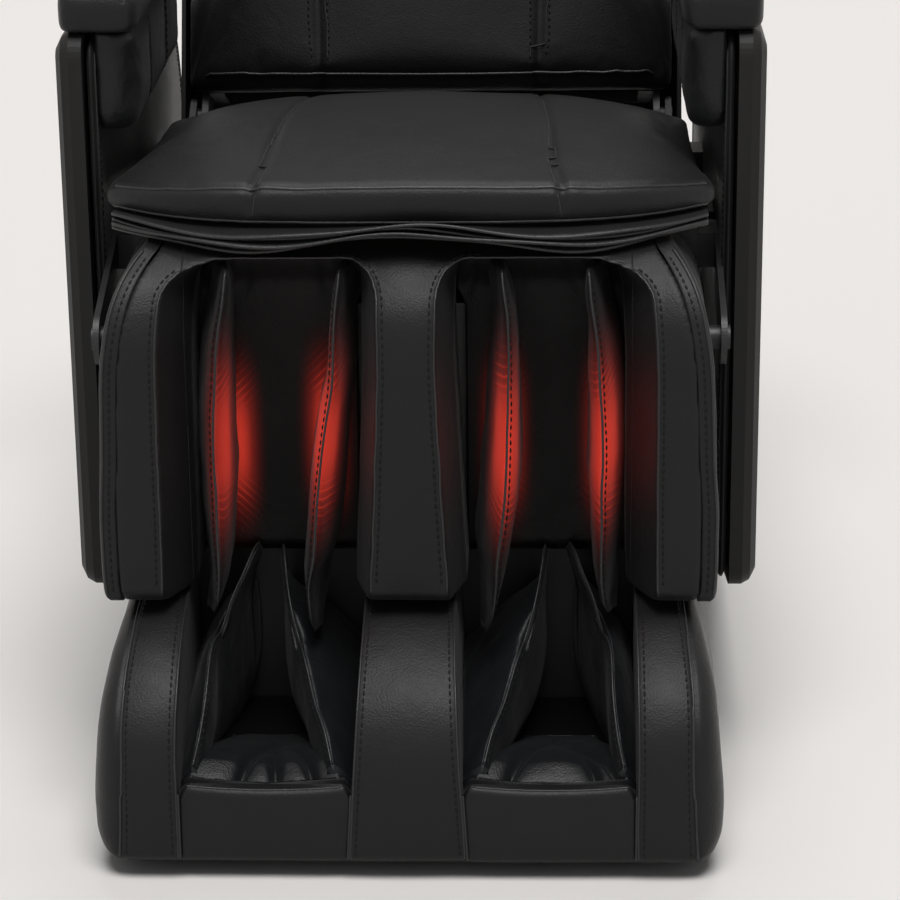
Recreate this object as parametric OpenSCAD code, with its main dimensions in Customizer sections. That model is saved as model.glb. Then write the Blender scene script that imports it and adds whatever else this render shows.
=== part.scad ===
// Massage chair with a calf and foot massager, +Z up, facing -Y, millimetres.
// Inside the model, distances along Y are counted from the front of the foot section;
// place() then centres the whole chair on the origin.

/* [Leg rest] */
// Width of the calf section over its side pads
leg_w = 502; // [450:1:560]
// Depth of the calf section, front to back
calf_d = 170; // [150:1:190]
// Height of the calf section
calf_h = 286; // [250:1:330]
// How far the calf section stands behind the front of the foot section
calf_setback = 95; // [70:1:120]
// Height of the foot section's bolsters
foot_h = 185; // [160:1:210]
// Depth of the foot section, front to back
foot_d = 265; // [240:1:300]
// How much wider the foot section bulges than the calf section, each side
foot_bulge = 4.5; // [0:0.5:6]
// Gap between the floor and the foot tray
floor_gap = 11; // [5:1:30]
// Clear gap between the calf and foot sections
section_gap = 4; // [2:0.5:10]
// Width of the centre bolster at mid calf
center_w = 48; // [40:1:60]
// Width of the outer bolsters' front panel at mid calf
bolster_w = 29; // [24:1:40]
// Thickness of the calf section's side pads
side_pad_t = 11; // [8:1:14]
// Height of the low wall in front of the toes
toe_h = 66; // [50:1:80]
// Thickness of the foot section's front wall
toe_t = 24; // [18:1:30]
// How far the foot section pulls out
foot_travel = 120; // [60:5:140]

/* [Seat] */
// Gap between the leg rest and the liners beside it, which holds the leg rest's ears
side_gap = 8; // [7.5:0.5:20]
// Thickness of each side shell
shell_t = 23; // [18:1:25]
// Thickness of the padded liner inside each shell
liner_t = 9; // [6:1:9]
// Wall of the plastic side shells
shell_wall = 3; // [2:0.5:5]
// Height of the seat's front edge above the seat board
seat_edge = 29; // [20:1:45]
// Thickness of the seat board
pan_t = 10; // [6:1:14]
// Depth of the seat cushion
seat_d = 472; // [440:2:500]
// Height of the armrest's underside above the floor
arm_z = 645; // [620:1:700]
// Thickness of the armrest pads
arm_t = 40; // [30:1:60]
// Height of the inner arm air pads
arm_pad_h = 92; // [60:1:100]
// Thickness of the inner arm air pads
arm_pad_t = 37; // [25:1:45]
// Height of the side shells' front lower corner above the floor
shell_lift = 160; // [120:1:200]

/* [Back] */
// Lean of the upright back from vertical, degrees
back_lean = 22; // [15:1:30]
// Length of the back from its hinge to its top
back_l = 690; // [650:5:740]
// Gap between the back shell and each liner
back_gap = 19; // [12:1:30]
// Thickness of the back cushion
back_pad_t = 52; // [40:1:70]
// Depth of the back shell behind the cushion
back_depth = 118; // [110:1:140]
// Wall of the back shell
back_wall = 4; // [3:0.5:6]
// Length of the massage carriage's travel
carriage_travel = 340; // [200:5:360]
// Radius of the massage wheels
wheel_r = 24; // [18:1:26]

/* [Frame] */
// Side of the square steel tubes
tube = 30; // [25:1:35]
// Radius of the leg rest's pivot pins
pin_r = 10; // [8:0.5:12]
// Radius of the back's pivot pins
back_pin_r = 9; // [7:0.5:11]
// Radius of the foot section's guide rods
rod_r = 8; // [6:0.5:10]
// Radial clearance of pins and shafts in their bores
fit = 0.05; // [0.03:0.01:0.1]
// Radius of the rear transport wheels
caster_r = 25; // [20:1:28]
// Height of the rubber feet
foot_pad_h = 25; // [15:1:35]

/* [Hidden] */
eps = 0.01;
soft_gap = 0.3;      // clearance between a soft piece and its neighbour
rest_gap = 0.05;     // gap between a cushion and the board or frame it lies on
rounded = 48;        // $fn of round parts

// ---- leg rest, worked out from the dimensions above ----
plate_t = 4;                                          // steel and plastic sheet
foot_z = floor_gap + plate_t;                         // underside of the foot bolsters
foot_top = foot_z + foot_h;
roller_r = 15;
shaft_r = 6;
roller = [105, foot_z + roller_r + 4];                // [y, z] of the foot roller's shaft
calf_z = foot_top + section_gap;                      // underside of the calf section
calf_top = calf_z + calf_h;
pivot = [calf_setback + calf_d / 2, calf_top - calf_d / 2];   // [y, z] of the leg rest's hinge
calf_back = calf_setback + calf_d;
board_y = calf_back - 43;                             // front face of the calf frame's board
half_leg = leg_w / 2;
half_foot = half_leg + foot_bulge;
well_out = half_leg - side_pad_t - bolster_w - 4;     // outer wall of a calf well at mid height
foot_well_out = half_foot - 71;                       // outer wall of a foot well
foot_well_in = center_w / 2 + 24;                     // inner wall of a foot well, at the toes
foot_well_w = foot_well_out - foot_well_in;
// the air pads' tables are written for a calf well 183 wide and a foot well 136.5 wide
calf_share = (well_out - center_w / 2) / 183;
foot_share = foot_well_w / 136.5;
function calf_x(x) = center_w / 2 + (x - 24) * calf_share;
function foot_x(x) = foot_well_in + (x - 48) * foot_share;

// ---- seat and chassis ----
liner_in = half_leg + side_gap;                       // inner face of a liner
shell_in = liner_in + liner_t;                        // inner face of a side shell
half_body = shell_in + shell_t;
seat_z = calf_top + 7;                                // underside of the seat board at the front
seat_front = calf_setback + 55;                       // front edge of the seat cushion
seat_back = seat_front + seat_d;
hinge = [seat_back + 68, seat_z - 27];                // [y, z] of the back's hinge
rail_top = seat_z - 37;                               // top of the seat frame's side rails
rail_x = half_leg - tube - 13;                        // inner face of a side rail
rail_y0 = calf_back + 20;
rail_y1 = hinge[0] - 30;
shell_y0 = calf_back - 30;                            // front edge of the side shells
leg_x = rail_x;                                       // inner face of a floor rail
floor_y1 = hinge[0] + 160;                            // rear end of the floor rails
ear_t = 5;
axle_r = 5;                                           // transport wheels' axles
caster = [floor_y1 + caster_r + 3, caster_r + 7];     // [y, z] of the transport wheels
ear_x = liner_in - ear_t - 0.5;                       // inner face of a leg rest ear

// ---- back, in its own frame: [v, u] is [behind the hinge plane, up the back] ----
half_back = liner_in - back_gap;
member_x = half_back - 41;                            // inner face of a back side member
member_w = 20;
member_v0 = -8;
member_v1 = 90;
rod_x = member_x - 39;                                // guide rods of the carriage
rod_v = 78;
screw_r = 6;
knead = [62, 150];                                    // [v, u] of the massage arms' pivot
wheel_du = 55;                                        // wheel axle above or below that pivot
wheel_dv = -28;
arm_x = 48;                                           // inner face of a massage arm
back_top_r = 60;                                      // rounding of the shell's top
chair_l = hinge[0] + (back_l - back_top_r) * sin(back_lean)
        + (back_depth - back_top_r) * cos(back_lean) + back_top_r;

// ---- actuators: [y, z] of the tail pin and of the rod's end, at rest ----
back_lever_r = 120;
back_lever_a = 35;                                    // degrees behind straight down
back_end = hinge + back_lever_r * [sin(back_lever_a), -cos(back_lever_a)];
back_tail = [rail_y0 + 85, 250];
leg_lever_r = 112;
leg_lever_a = 60;
leg_end = pivot + leg_lever_r * [sin(leg_lever_a), -cos(leg_lever_a)];
leg_tail = [hinge[0] - 70, 210];
actuator_x = 60;
actuator_r = 20;
tail_r = 6;                                           // pins at the actuators' ends
bracket_drop = 48;                                    // how far their cross tubes lie below the tail pins

// ---------------------------------------------------------------- helpers
function clamp01(t) = min(1, max(0, t));
function mix(a, b, t) = a + (b - a) * t;
// value at x on a straight-line table of [x, value] rows
function table(x, rows, i = 0) =
    x <= rows[0][0] ? rows[0][1] :
    i >= len(rows) - 1 ? rows[len(rows) - 1][1] :
    x <= rows[i + 1][0] ? mix(rows[i][1], rows[i + 1][1], (x - rows[i][0]) / (rows[i + 1][0] - rows[i][0])) :
    table(x, rows, i + 1);

function unit(v) = v / norm(v);
// the corner p between a and b, rounded to radius r by k + 1 points
function corner(a, p, b, r, k) = let (
        u = unit(a - p), w = unit(b - p), half = acos(u * w) / 2,
        c = p + unit(u + w) * r / sin(half),
        v0 = (p + u * r / tan(half) - c) / r, v1 = (p + w * r / tan(half) - c) / r,
        turn = 180 - 2 * half)
    [for (i = [0:k]) c + r * (sin(turn * (1 - i / k)) * v0 + sin(turn * i / k) * v1) / sin(turn)];
// a closed outline with every corner rounded
function round_poly(p, r, k = 3) = let (n = len(p))
    [for (i = [0:n - 1]) each corner(p[(i + n - 1) % n], p[i], p[(i + 1) % n], r, k)];
function rect(x0, x1, y0, y1, r) = round_poly([[x1, y0], [x1, y1], [x0, y1], [x0, y0]],
    min(r, (x1 - x0) * 0.49, (y1 - y0) * 0.49), 4);
// rings laid across Z or across Y
function at_z(outline, z) = [for (q = outline) [q[0], q[1], z]];
function at_y(outline, y) = [for (q = outline) [q[0], y, q[1]]];
function ring_z(x0, x1, y0, y1, z, r) = at_z(rect(x0, x1, y0, y1, r), z);
function ring_y(x0, x1, z0, z1, y, r) = at_y(rect(x0, x1, z0, z1, r), y);
// how far a skin draws in at a distance d from its end, for an end rounded to r
function draw_in(d, r) = d >= r ? 0 : r - sqrt(r * r - (r - d) * (r - d));
// stations from a to b, close together at both rounded ends
function stations(a, b, r, mids = [0.25, 0.5, 0.75]) = concat([for (k = [0, 0.06, 0.3, 1]) a + k * r],
    [for (t = mids) mix(a + r, b - r, t)], [for (k = [1, 0.3, 0.06, 0]) b - k * r]);

function mean(ring) = [for (k = [0:2]) [for (q = ring) q[k]] * [for (q = ring) 1] / len(ring)];

// the direction a ring faces, by the turn of its points
function facing(ring) = let (c = mean(ring), n = len(ring))
    [for (i = [0:n - 1]) 1] * [for (i = [0:n - 1]) cross(ring[i] - c, ring[(i + 1) % n] - c)];

// one closed skin through a stack of rings
module loft(rings) {
    n = len(rings[0]);
    m = len(rings);
    mid = floor(m / 2);
    inward = facing(rings[mid]) * (mean(rings[m - 1]) - mean(rings[0])) < 0;
    points = concat([for (r = rings) each r], [mean(rings[0]), mean(rings[m - 1])]);
    walls = [for (k = [0:m - 2], i = [0:n - 1])
        let (a = k * n + i, b = k * n + (i + 1) % n, c = b + n, d = a + n) each [[a, d, c], [a, c, b]]];
    caps = [for (i = [0:n - 1]) let (j = (i + 1) % n, last = (m - 1) * n)
        each [[m * n, i, j], [m * n + 1, last + j, last + i]]];
    faces = concat(walls, caps);
    polyhedron(points, inward ? [for (f = faces) [f[2], f[1], f[0]]] : faces);
}

module place() translate([0, -chair_l / 2, 0]) children();
module pair() for (s = [-1, 1]) scale_x(s) children();
module scale_x(s) if (s < 0) mirror([1, 0, 0]) children(); else children();
// a bar along X, from x0 to x1, with the [y, z] outline of its children
module along_x(x0, x1) translate([x0, 0, 0]) rotate([90, 0, 90]) linear_extrude(x1 - x0) children();
module pin_x(x0, x1, r, at) translate([x0, at[0], at[1]]) rotate([0, 90, 0])
    cylinder(h = x1 - x0, r = r, $fn = rounded);
module box(a, b) translate(a) cube(b - a);
module black_steel() color("#26272b") children();
module leather() color("#2a2a2d") children();
module plastic() color("#1d1d1f") children();
module bright() color("#b4b6ba") children();

// ---------------------------------------------------------------- chassis
module base_frame() black_steel() place() difference() {
    union() {
        pair() {
            box([leg_x, rail_y0, foot_pad_h], [leg_x + tube, floor_y1, foot_pad_h + tube]);
            box([leg_x, rail_y0 + 10, foot_pad_h], [leg_x + tube, rail_y0 + 10 + tube, rail_top - tube]);
            box([leg_x, rail_y1 - 40, foot_pad_h], [leg_x + tube, rail_y1 - 40 + tube, rail_top - tube]);
            for (x = [leg_x + 3, leg_x + tube - 7])
                box([x, floor_y1 - 12, caster_r - 3], [x + 4, caster[0] + 10, foot_pad_h + tube]);
        }
        box([-leg_x, rail_y0, foot_pad_h], [leg_x, rail_y0 + tube, foot_pad_h + tube]);
        box([-leg_x, floor_y1 - tube, foot_pad_h], [leg_x, floor_y1, foot_pad_h + tube]);
        for (c = [[rail_y0 + 10, back_tail[1] - bracket_drop], [rail_y1 - 40, leg_tail[1] - bracket_drop]])
            box([-leg_x, c[0], c[1]], [leg_x, c[0] + tube, c[1] + tube]);
        box([-leg_x, leg_tail[0] - 230, foot_pad_h + 8], [leg_x, leg_tail[0] - 30, foot_pad_h + 11]);
        tail_bracket(actuator_x, back_tail, rail_y0 + 10 + tube, back_tail[1] - bracket_drop);
        tail_bracket(-actuator_x, leg_tail, rail_y1 - 40, leg_tail[1] - bracket_drop);
    }
    pair() pin_x(leg_x - 1, leg_x + tube + 1, axle_r + fit, caster);
}

// two ears from a cross tube's face at y to the tail pin of an actuator, with the pin itself
module tail_bracket(x, at, y, z) {
    for (e = [x - 14, x + 9]) along_x(e, e + 5) hull() {
        translate(at) circle(13, $fn = rounded);
        translate([min(y, y + 4 * sign(y - at[0])), z]) square([4, tube]);
    }
    pin_x(x - 17, x + 17, tail_r, at);
}

module base_feet() color("#151515") place() pair() for (y = [rail_y0 + 25, floor_y1 - 45])
    translate([leg_x + tube / 2, y, 0]) {
        cylinder(h = 8, r1 = 20, r2 = 22, $fn = rounded);
        translate([0, 0, 8]) cylinder(h = foot_pad_h - 8, r = 12, $fn = rounded);
    }

module transport_wheel(s) color("#202022") place() scale_x(s)
    translate([leg_x + 8, caster[0], caster[1]]) rotate([0, 90, 0]) union() {
        rotate_extrude($fn = 64) difference() {
            square([caster_r, tube - 16]);
            translate([caster_r * 0.4, -eps]) square([caster_r * 0.35, 2]);
            translate([caster_r * 0.4, tube - 18]) square([caster_r * 0.35, 2 + eps]);
        }
        translate([0, 0, -8]) cylinder(h = tube, r = axle_r, $fn = rounded);
    }

module seat_frame() black_steel() place() difference() {
    union() {
        pair() {
            box([rail_x, rail_y0, rail_top - tube], [rail_x + tube, rail_y1, rail_top]);
            box([rail_x + tube, rail_y0 + 15, rail_top - tube], [ear_x + eps, rail_y0 + 60, rail_top]);
            along_x(ear_x, ear_x + ear_t) hull() {
                translate(pivot) circle(22, $fn = rounded);
                translate([rail_y0 + 15, rail_top - tube]) square([45, tube]);
            }
            for (y = [rail_y0 + 100, rail_y1 - 60])
                box([rail_x + tube, y, rail_top - tube + 4], [liner_in, y + 40, rail_top - 4]);
            along_x(half_back - 16, half_back - 10) hull() {
                translate(hinge) circle(18, $fn = rounded);
                translate([rail_y1 - 30, rail_top - tube]) square([30, tube]);
            }
        }
        box([-rail_x, rail_y0, rail_top - tube], [rail_x, rail_y0 + tube, rail_top]);
        box([-rail_x - tube, rail_y0, rail_top], [rail_x + tube, rail_y0 + tube, seat_z]);
        box([-rail_x, rail_y1 - tube, rail_top - tube], [rail_x, rail_y1, rail_top]);
    }
    pair() pin_x(ear_x - 1, ear_x + ear_t + 1, pin_r + fit, pivot);
    pair() pin_x(half_back - 17, half_back - 9, back_pin_r + fit, hinge);
}

// top of the seat board at y
board_y1 = rail_y1 - 32;
function board_top(y) = table(y, [[rail_y0 + tube, seat_z + pan_t], [board_y1, rail_top + pan_t]]);

// the seat's front edge in plan, bowed back towards its corners, drawn in by d
seat_half = liner_in - 10;
board_half = rail_x + 29;
function bow(x, d) = [x, seat_front - 4 + d + 104 * pow(abs(x) / seat_half, 4)];
bow_xs = [for (i = [0:16]) mix(-board_half, board_half, i / 16)];

module seat_board() color("#8a6f4d") place() intersection() {
    along_x(-board_half, board_half) polygon([
        [seat_front, seat_z], [rail_y0 + tube, seat_z], [board_y1, rail_top], [board_y1, rail_top + pan_t],
        [rail_y0 + tube, seat_z + pan_t], [seat_front, seat_z + pan_t]]);
    translate([0, 0, rail_top - 1]) linear_extrude(seat_z - rail_top + pan_t + 2)
        polygon(concat([for (x = bow_xs) bow(x, 16)], [[board_half, rail_y1], [-board_half, rail_y1]]));
}

// ---- seat cushion: bowed front edge, crown, and two sewn channels ----
channel_x = 126;
function channel(x, at, depth, width) = depth * exp(-pow((abs(x) - at) / width, 2));
function seat_top(x, y) = board_top(y) + seat_edge
    + 12 * sin(180 * clamp01((y - seat_front) / seat_d)) + 10 * clamp01((y - seat_front) / 300)
    - 24 * pow(abs(x) / seat_half, 3) - channel(x, channel_x, 5, 7);
seat_ys = [0, 3, 12, 30, 60, 95, (rail_y0 + tube - seat_front) * 472 / seat_d,
    230, 300, 370, 430, 458, 468, 472];
seat_xs = [-1, -0.985, -0.93, -0.8, -0.65, -0.56, -0.51, -0.46, -0.35, -0.15,
           0.15, 0.35, 0.46, 0.51, 0.56, 0.65, 0.8, 0.93, 0.985, 1];
function seat_ring(y) = let (
        bow = clamp01((y + 4) / 104),
        w = seat_half * pow(bow, 0.25),
        yy = seat_front + y * seat_d / 472,
        low = board_top(yy) + rest_gap,
        end = 1 - pow(1 - clamp01(min(y + 6, 472 - y + 8) / 34), 2.2))
    concat([[-w * 0.97, yy, low], [w * 0.97, yy, low]],
        [for (i = [len(seat_xs) - 1:-1:0]) let (x = seat_xs[i] * w, side = 1 - pow(abs(seat_xs[i]), 12))
            [x, yy, mix(low + 4, seat_top(x, yy), end * max(side, 0.02))]]);

module seat_cushion() leather() place() loft([for (y = seat_ys) seat_ring(y)]);

// thin hemmed flaps on the seat board's front edge, bowed as the cushion is
module seat_front_flap() leather() place() for (k = [0, 1, 2]) {
    reach = [28, 24, 30][k];
    outer = [for (x = bow_xs) bow(x, 16 - reach - 1.5 * cos(x * (3.1 + k)))];
    inner = [for (i = [len(bow_xs) - 1:-1:0]) bow(bow_xs[i], 16)];
    translate([0, 0, seat_z + 0.4 + k * 3.1]) linear_extrude(2.4) polygon(concat(outer, inner));
}

// ---- side shells, seen from the side ----
shell_corners = [
    [shell_y0, shell_lift, 22], [shell_y0, arm_z, 22], [hinge[0] - 30, arm_z, 90],
    [hinge[0] + 125, arm_z - 90, 110], [hinge[0] + 185, 320, 120], [hinge[0] + 180, 100, 70],
    [hinge[0] + 60, 70, 70]];
module side_outline(inset = 0) hull() for (c = shell_corners) let (
        m = [hinge[0] - 150, 370], r = max(c[2] - inset, 4), d = c[2],
        cx = c[0] + d * sign(m[0] - c[0]), cz = c[1] + d * sign(m[1] - c[1]))
    translate([cx, cz]) circle(r, $fn = 32);

module side_shell(s) plastic() place() scale_x(s) difference() {
    hull() {
        along_x(shell_in, half_body - 12) side_outline();
        along_x(half_body - 6, half_body - 5) side_outline(4);
        along_x(half_body - 1, half_body) side_outline(14);
    }
    along_x(shell_in - 1, half_body - shell_wall - 4) side_outline(20);
}

module side_liners() leather() place() pair() along_x(liner_in, shell_in) side_outline(5);

arm_y0 = shell_y0 + 5;
arm_y1 = hinge[0] - 50;
// one armrest on the shell's top edge; the right one has a recess for the control panel
module armrest(s) leather() place() difference() {
    scale_x(s) loft([for (y = stations(arm_y0, arm_y1, 18, [0.2, 0.5, 0.8]))
        let (e = draw_in(min(y - arm_y0, arm_y1 - y), 18), t = (y - arm_y0) / (arm_y1 - arm_y0))
        ring_y(liner_in - arm_pad_t + e * 0.6, half_body - 1 - e * 0.6,
            arm_z, arm_z + arm_t - e - 4 * t, y, 13)]);
    if (s > 0) panel_block(panel_z - 4, 10);
}

// padded air bags on the inner side of each armrest
module arm_air_pads() leather() place() pair() {
    y0 = arm_y0 + 5;
    y1 = arm_y1 - 40;
    loft([for (y = stations(y0, y1, 26)) let (e = draw_in(min(y - y0, y1 - y), 26))
        ring_y(liner_in - arm_pad_t + e, liner_in, arm_z - arm_pad_h + e, arm_z, y, 17)]);
}

// ---- controls on the right armrest ----
panel_y = shell_y0 + 95;
panel_x = half_body - 34;
panel_z = arm_z + arm_t - 3;
button_step = 30;
button_r = 9;
module panel_block(z, h) hull() for (y = [-28, 28 + button_step])
    translate([panel_x, panel_y + y, z]) cylinder(h = h, r = 15, $fn = rounded);
module control_panel() plastic() place() difference() {
    panel_block(panel_z - 4, 7);
    for (k = [-0.5, 0.5, 1.5]) translate([panel_x, panel_y + k * button_step, panel_z - 1])
        cylinder(h = 10, r = button_r + 0.3, $fn = rounded);
}
module button(k, c) color(c) place() translate([panel_x, panel_y + (k - 0.5) * button_step, panel_z + 1])
    cylinder(h = 4, r = button_r, $fn = rounded);

// ---- rear cover with its inlet and switch ----
cover_y = hinge[0] + 150;
cover_z = 96;
inlet = [-150, cover_z + 60];
switch = [-95, cover_z + 60];
switch_pin = 1.2;
module rear_cover() plastic() place() difference() {
    union() {
        box([-liner_in, cover_y, cover_z], [liner_in, cover_y + plate_t, 300]);
        box([-liner_in, cover_y - 30, cover_z], [liner_in, cover_y, cover_z + plate_t]);
        box([-liner_in, cover_y - 30, 300 - plate_t], [liner_in, cover_y, 300]);
    }
    for (c = [[inlet, [14, 10]], [switch, [11, 14]]]) let (a = c[0] - c[1], b = c[0] + c[1])
        box([a[0], cover_y - 1, a[1]], [b[0], cover_y + plate_t + 1, b[1]]);
    translate([switch[0], 0, 0]) pin_x(-12.8, 12.8, switch_pin + fit, [cover_y + plate_t / 2, switch[1]]);
    for (x = [-180, -80, 20, 120], z = [200, 225, 250])
        box([x, cover_y - 1, z], [x + 60, cover_y + plate_t + 1, z + 8]);
}
module power_inlet() color("#101010") place() translate([inlet[0], cover_y, inlet[1]]) {
    difference() {
        union() {
            box([-13.8, -16, -9.8], [13.8, plate_t, 9.8]);
            box([-17, plate_t, -13], [17, plate_t + 2, 13]);
        }
        box([-12, -13, -8], [12, plate_t + 3, 8]);
    }
    for (p = [[-7, -2], [7, -2], [0, 3]]) box([p[0] - 1, -13.5, p[1] - 2], [p[0] + 1, -4, p[1] + 2]);
}
module power_switch() color("#181818") place() translate([switch[0], cover_y + plate_t / 2, switch[1]]) {
    along_x(-9, 9) polygon([[-6, -9], [3.5, -10], [2.6, 0], [6, 10], [-6, 9]]);
    pin_x(-12.5, 12.5, switch_pin, [0, 0]);
}
module air_pump() color("#3b3d42") place() translate([-140, leg_tail[0] - 210, foot_pad_h + 11]) {
    box([0, 0, 0], [120, 150, 12]);
    for (x = [31, 89]) translate([x, 20, 47]) rotate([-90, 0, 0]) cylinder(h = 110, r = 26, $fn = rounded);
    box([20, 50, 12], [100, 100, 40]);
}
module control_box() color("#2f3136") place()
    translate([10, leg_tail[0] - 200, foot_pad_h + 11]) difference() {
        box([0, 0, 0], [130, 140, 55]);
        for (k = [0:6]) box([-1, 20 + k * 15, 20], [3, 26 + k * 15, 45]);
    }

// ---------------------------------------------------------------- back
module in_back() place() translate([0, hinge[0], hinge[1]]) rotate([-back_lean, 0, 0]) children();

module back_frame() black_steel() in_back() {
    difference() {
        union() {
            pair() {
                box([member_x, member_v0, 22], [member_x + member_w, member_v1, back_l - 32]);
                along_x(member_x + member_w - 6, member_x + member_w) hull() {
                    circle(15, $fn = rounded);
                    translate([member_v0, 22]) square([60, 1.9]);
                }
                pin_x(member_x + member_w - 6, half_back - 9, back_pin_r, [0, 0]);
                for (u = [150, 420]) box([member_x + member_w, 30, u], [half_back - back_wall, 60, u + 60]);
                translate([rod_x, rod_v, 22]) cylinder(h = back_l - 54, r = rod_r, $fn = rounded);
                box([rod_x - 16, rod_v - 12, 22], [member_x + 1, rod_v + 12, 44]);
                box([rod_x - 16, rod_v - 12, back_l - 54], [member_x + 1, rod_v + 12, back_l - 32]);
            }
            box([-member_x, rod_v - 12, 22], [member_x, rod_v + 12, 44]);
            box([-member_x, rod_v - 12, back_l - 54], [member_x, rod_v + 12, back_l - 32]);
        }
        translate([0, rod_v, 21]) cylinder(h = back_l, r = screw_r, $fn = rounded);
    }
    back_lever();
}

// the lever that the back's actuator pulls, two plates that leave its pivot open
module back_lever() {
    a = back_lever_a + back_lean;
    end = back_lever_r * [sin(a), -cos(a)];
    for (x = [actuator_x - 17, actuator_x + 12]) difference() {
        along_x(x, x + 5) hull() {
            translate(end) circle(14, $fn = rounded);
            translate([rod_v - 12, 22]) square([24, 20]);
        }
        pin_x(x - 1, x + 6, 8, end);
    }
}

module back_shell_outline(inset) {
    r = 46 - inset;
    w = half_back - inset;
    d = back_depth - inset;
    hull() {
        translate([-w, member_v0 + 2]) square([2 * w, 10]);
        for (x = [-1, 1]) translate([x * (w - r), d - r]) circle(r, $fn = 64);
    }
}
module back_shell() plastic() in_back() {
    pillow_ears();
    back_shell_body();
}
module back_shell_body() difference() {
    intersection() {
        translate([0, 0, -18]) linear_extrude(back_l + 18) back_shell_outline(0);
        along_x(-half_back - 1, half_back + 1) hull() {
            translate([member_v0 - 1, -18]) square([back_depth + 12, 10]);
            translate([member_v0 - 1, back_l - 10]) square([10, 10]);
            translate([back_depth - back_top_r, back_l - back_top_r]) circle(back_top_r, $fn = 64);
        }
    }
    intersection() {
        translate([0, -eps, -19]) linear_extrude(back_l + 18) back_shell_outline(back_wall);
        along_x(-half_back - 1, half_back + 1) hull() {
            translate([member_v0 - 5, -19]) square([back_depth - back_wall + 5 - member_v0, 10]);
            translate([member_v0 - 5, back_l - 10 - back_wall]) square([10, 10]);
            translate([back_depth - back_top_r, back_l - back_top_r])
                circle(back_top_r - back_wall, $fn = 64);
        }
    }
    translate([0, member_v0 - 5, -19])
        cube([2 * (half_back - back_wall), 20, 2 * (back_l + 15 - back_wall)], center = true);
}
// ears for the head pillow's pin
module pillow_ears() difference() {
    pair() along_x(71, 77) hull() {
        translate(pillow_pin) circle(8, $fn = rounded);
        translate([member_v0 + 2, back_l - 3]) square([30, 2]);
    }
    pin_x(-79, 79, 4 + fit, pillow_pin);
}

// ---- back cushion: crown, vertical channels in line with the seat's, and a drawn-in foot and head ----
back_us = [24, 27, 38, 62, 110, 170, 230, 290, 350, 410, 470, 530, 590, 640, 668, 680, 684];
function back_face(x, u) = member_v0 - back_pad_t + 16 * pow(abs(x) / half_back, 2.5)
    + channel(x, channel_x, 6, 7) - 10 * sin(clamp01((u - 60) / 300) * 180);
function back_ring(u) = let (
        w = (half_back - 6) * (1 - 0.05 * pow(clamp01((u - 560) / 130), 2)),
        uu = u * back_l / 690,
        end = 1 - pow(1 - clamp01(min(u - 20, 690 - u) / 30), 2.2),
        rear = member_v0 - rest_gap)
    concat([[w * 0.985, rear, uu], [-w * 0.985, rear, uu]],
        [for (q = seat_xs) let (x = q * w, side = 1 - pow(abs(q), 12))
            [x, mix(rear - 6, back_face(x, uu), end * max(side, 0.02)), uu]]);
module back_cushion() leather() in_back() loft([for (u = back_us) back_ring(u)]);

// shoulder air bags on the sides of the back
module back_wings() leather() in_back() pair() {
    u0 = 330;
    u1 = 580;
    loft([for (u = stations(u0, u1, 44)) let (e = draw_in(min(u - u0, u1 - u), 44))
        ring_z(half_back, half_back + 46 - e * 0.8, -118 + e * 1.5, 62 - e * 0.3, u, 21)]);
}

// head pillow on a flap that is hinged at the back's top edge, so it can be thrown over
pillow_pin = [6, back_l + 11];
module head_pillow() leather() in_back() {
    front = member_v0 - back_pad_t - 8;
    u0 = back_l - 180;
    u1 = u0 + 150;
    loft([for (u = stations(u0, u1, 22)) let (e = draw_in(min(u - u0, u1 - u), 22))
        ring_z(-150 + e * 0.6, 150 - e * 0.6, front - 48 + e, front, u, 20)]);
    box([-70, front - 7, u1 - 10], [70, front - 4, pillow_pin[1] + 1.5]);
    box([-70, front - 7, pillow_pin[1] - 1.5], [70, pillow_pin[0], pillow_pin[1] + 1.5]);
    pin_x(-78, 78, 4, pillow_pin);
}

// ---------------------------------------------------------------- massage mechanism
module massage_carriage() color("#5a5d63") in_back() difference() {
    union() {
        box([-rod_x + 12, 76, 100], [rod_x - 12, 82, 200]);
        pair() {
            translate([rod_x, rod_v, 105]) cylinder(h = 30, r = 15, $fn = rounded);
            translate([rod_x, rod_v, 165]) cylinder(h = 30, r = 15, $fn = rounded);
            box([rod_x - 20, 74, 100], [rod_x - 10, 84, 200]);
            // ears that hold the massage arms' shaft
            for (x = [arm_x - 14, arm_x + 16]) along_x(x, x + 5) hull() {
                translate(knead) circle(10, $fn = rounded);
                translate([76, knead[1] - 22]) square([4, 44]);
            }
            pin_x(arm_x - 14, arm_x + 21, 6, knead);
        }
        // kneading motor and gearbox
        box([-34, 70, 112], [34, 104, 188]);
        translate([-100, 92, 170]) rotate([0, 90, 0]) cylinder(h = 70, r = 11, $fn = rounded);
    }
    pair() translate([rod_x, rod_v, 99]) cylinder(h = 110, r = rod_r + fit, $fn = rounded);
    translate([0, rod_v, 99]) cylinder(h = 110, r = screw_r + fit, $fn = rounded);
}

module lift_screw() bright() in_back() translate([0, rod_v, 22])
    cylinder(h = back_l - 54, r = screw_r, $fn = rounded);

module massage_arm(s) color("#77797f") in_back() scale_x(s) difference() {
    union() {
        for (k = [-1, 1]) {
            along_x(arm_x, arm_x + 8) hull() {
                translate(knead) circle(13, $fn = rounded);
                translate(knead + [wheel_dv, k * wheel_du]) circle(8, $fn = rounded);
            }
            pin_x(arm_x + 4, arm_x + 44, 4, knead + [wheel_dv, k * wheel_du]);
        }
    }
    pin_x(arm_x - 1, arm_x + 9, 6 + fit, knead);
}

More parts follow.
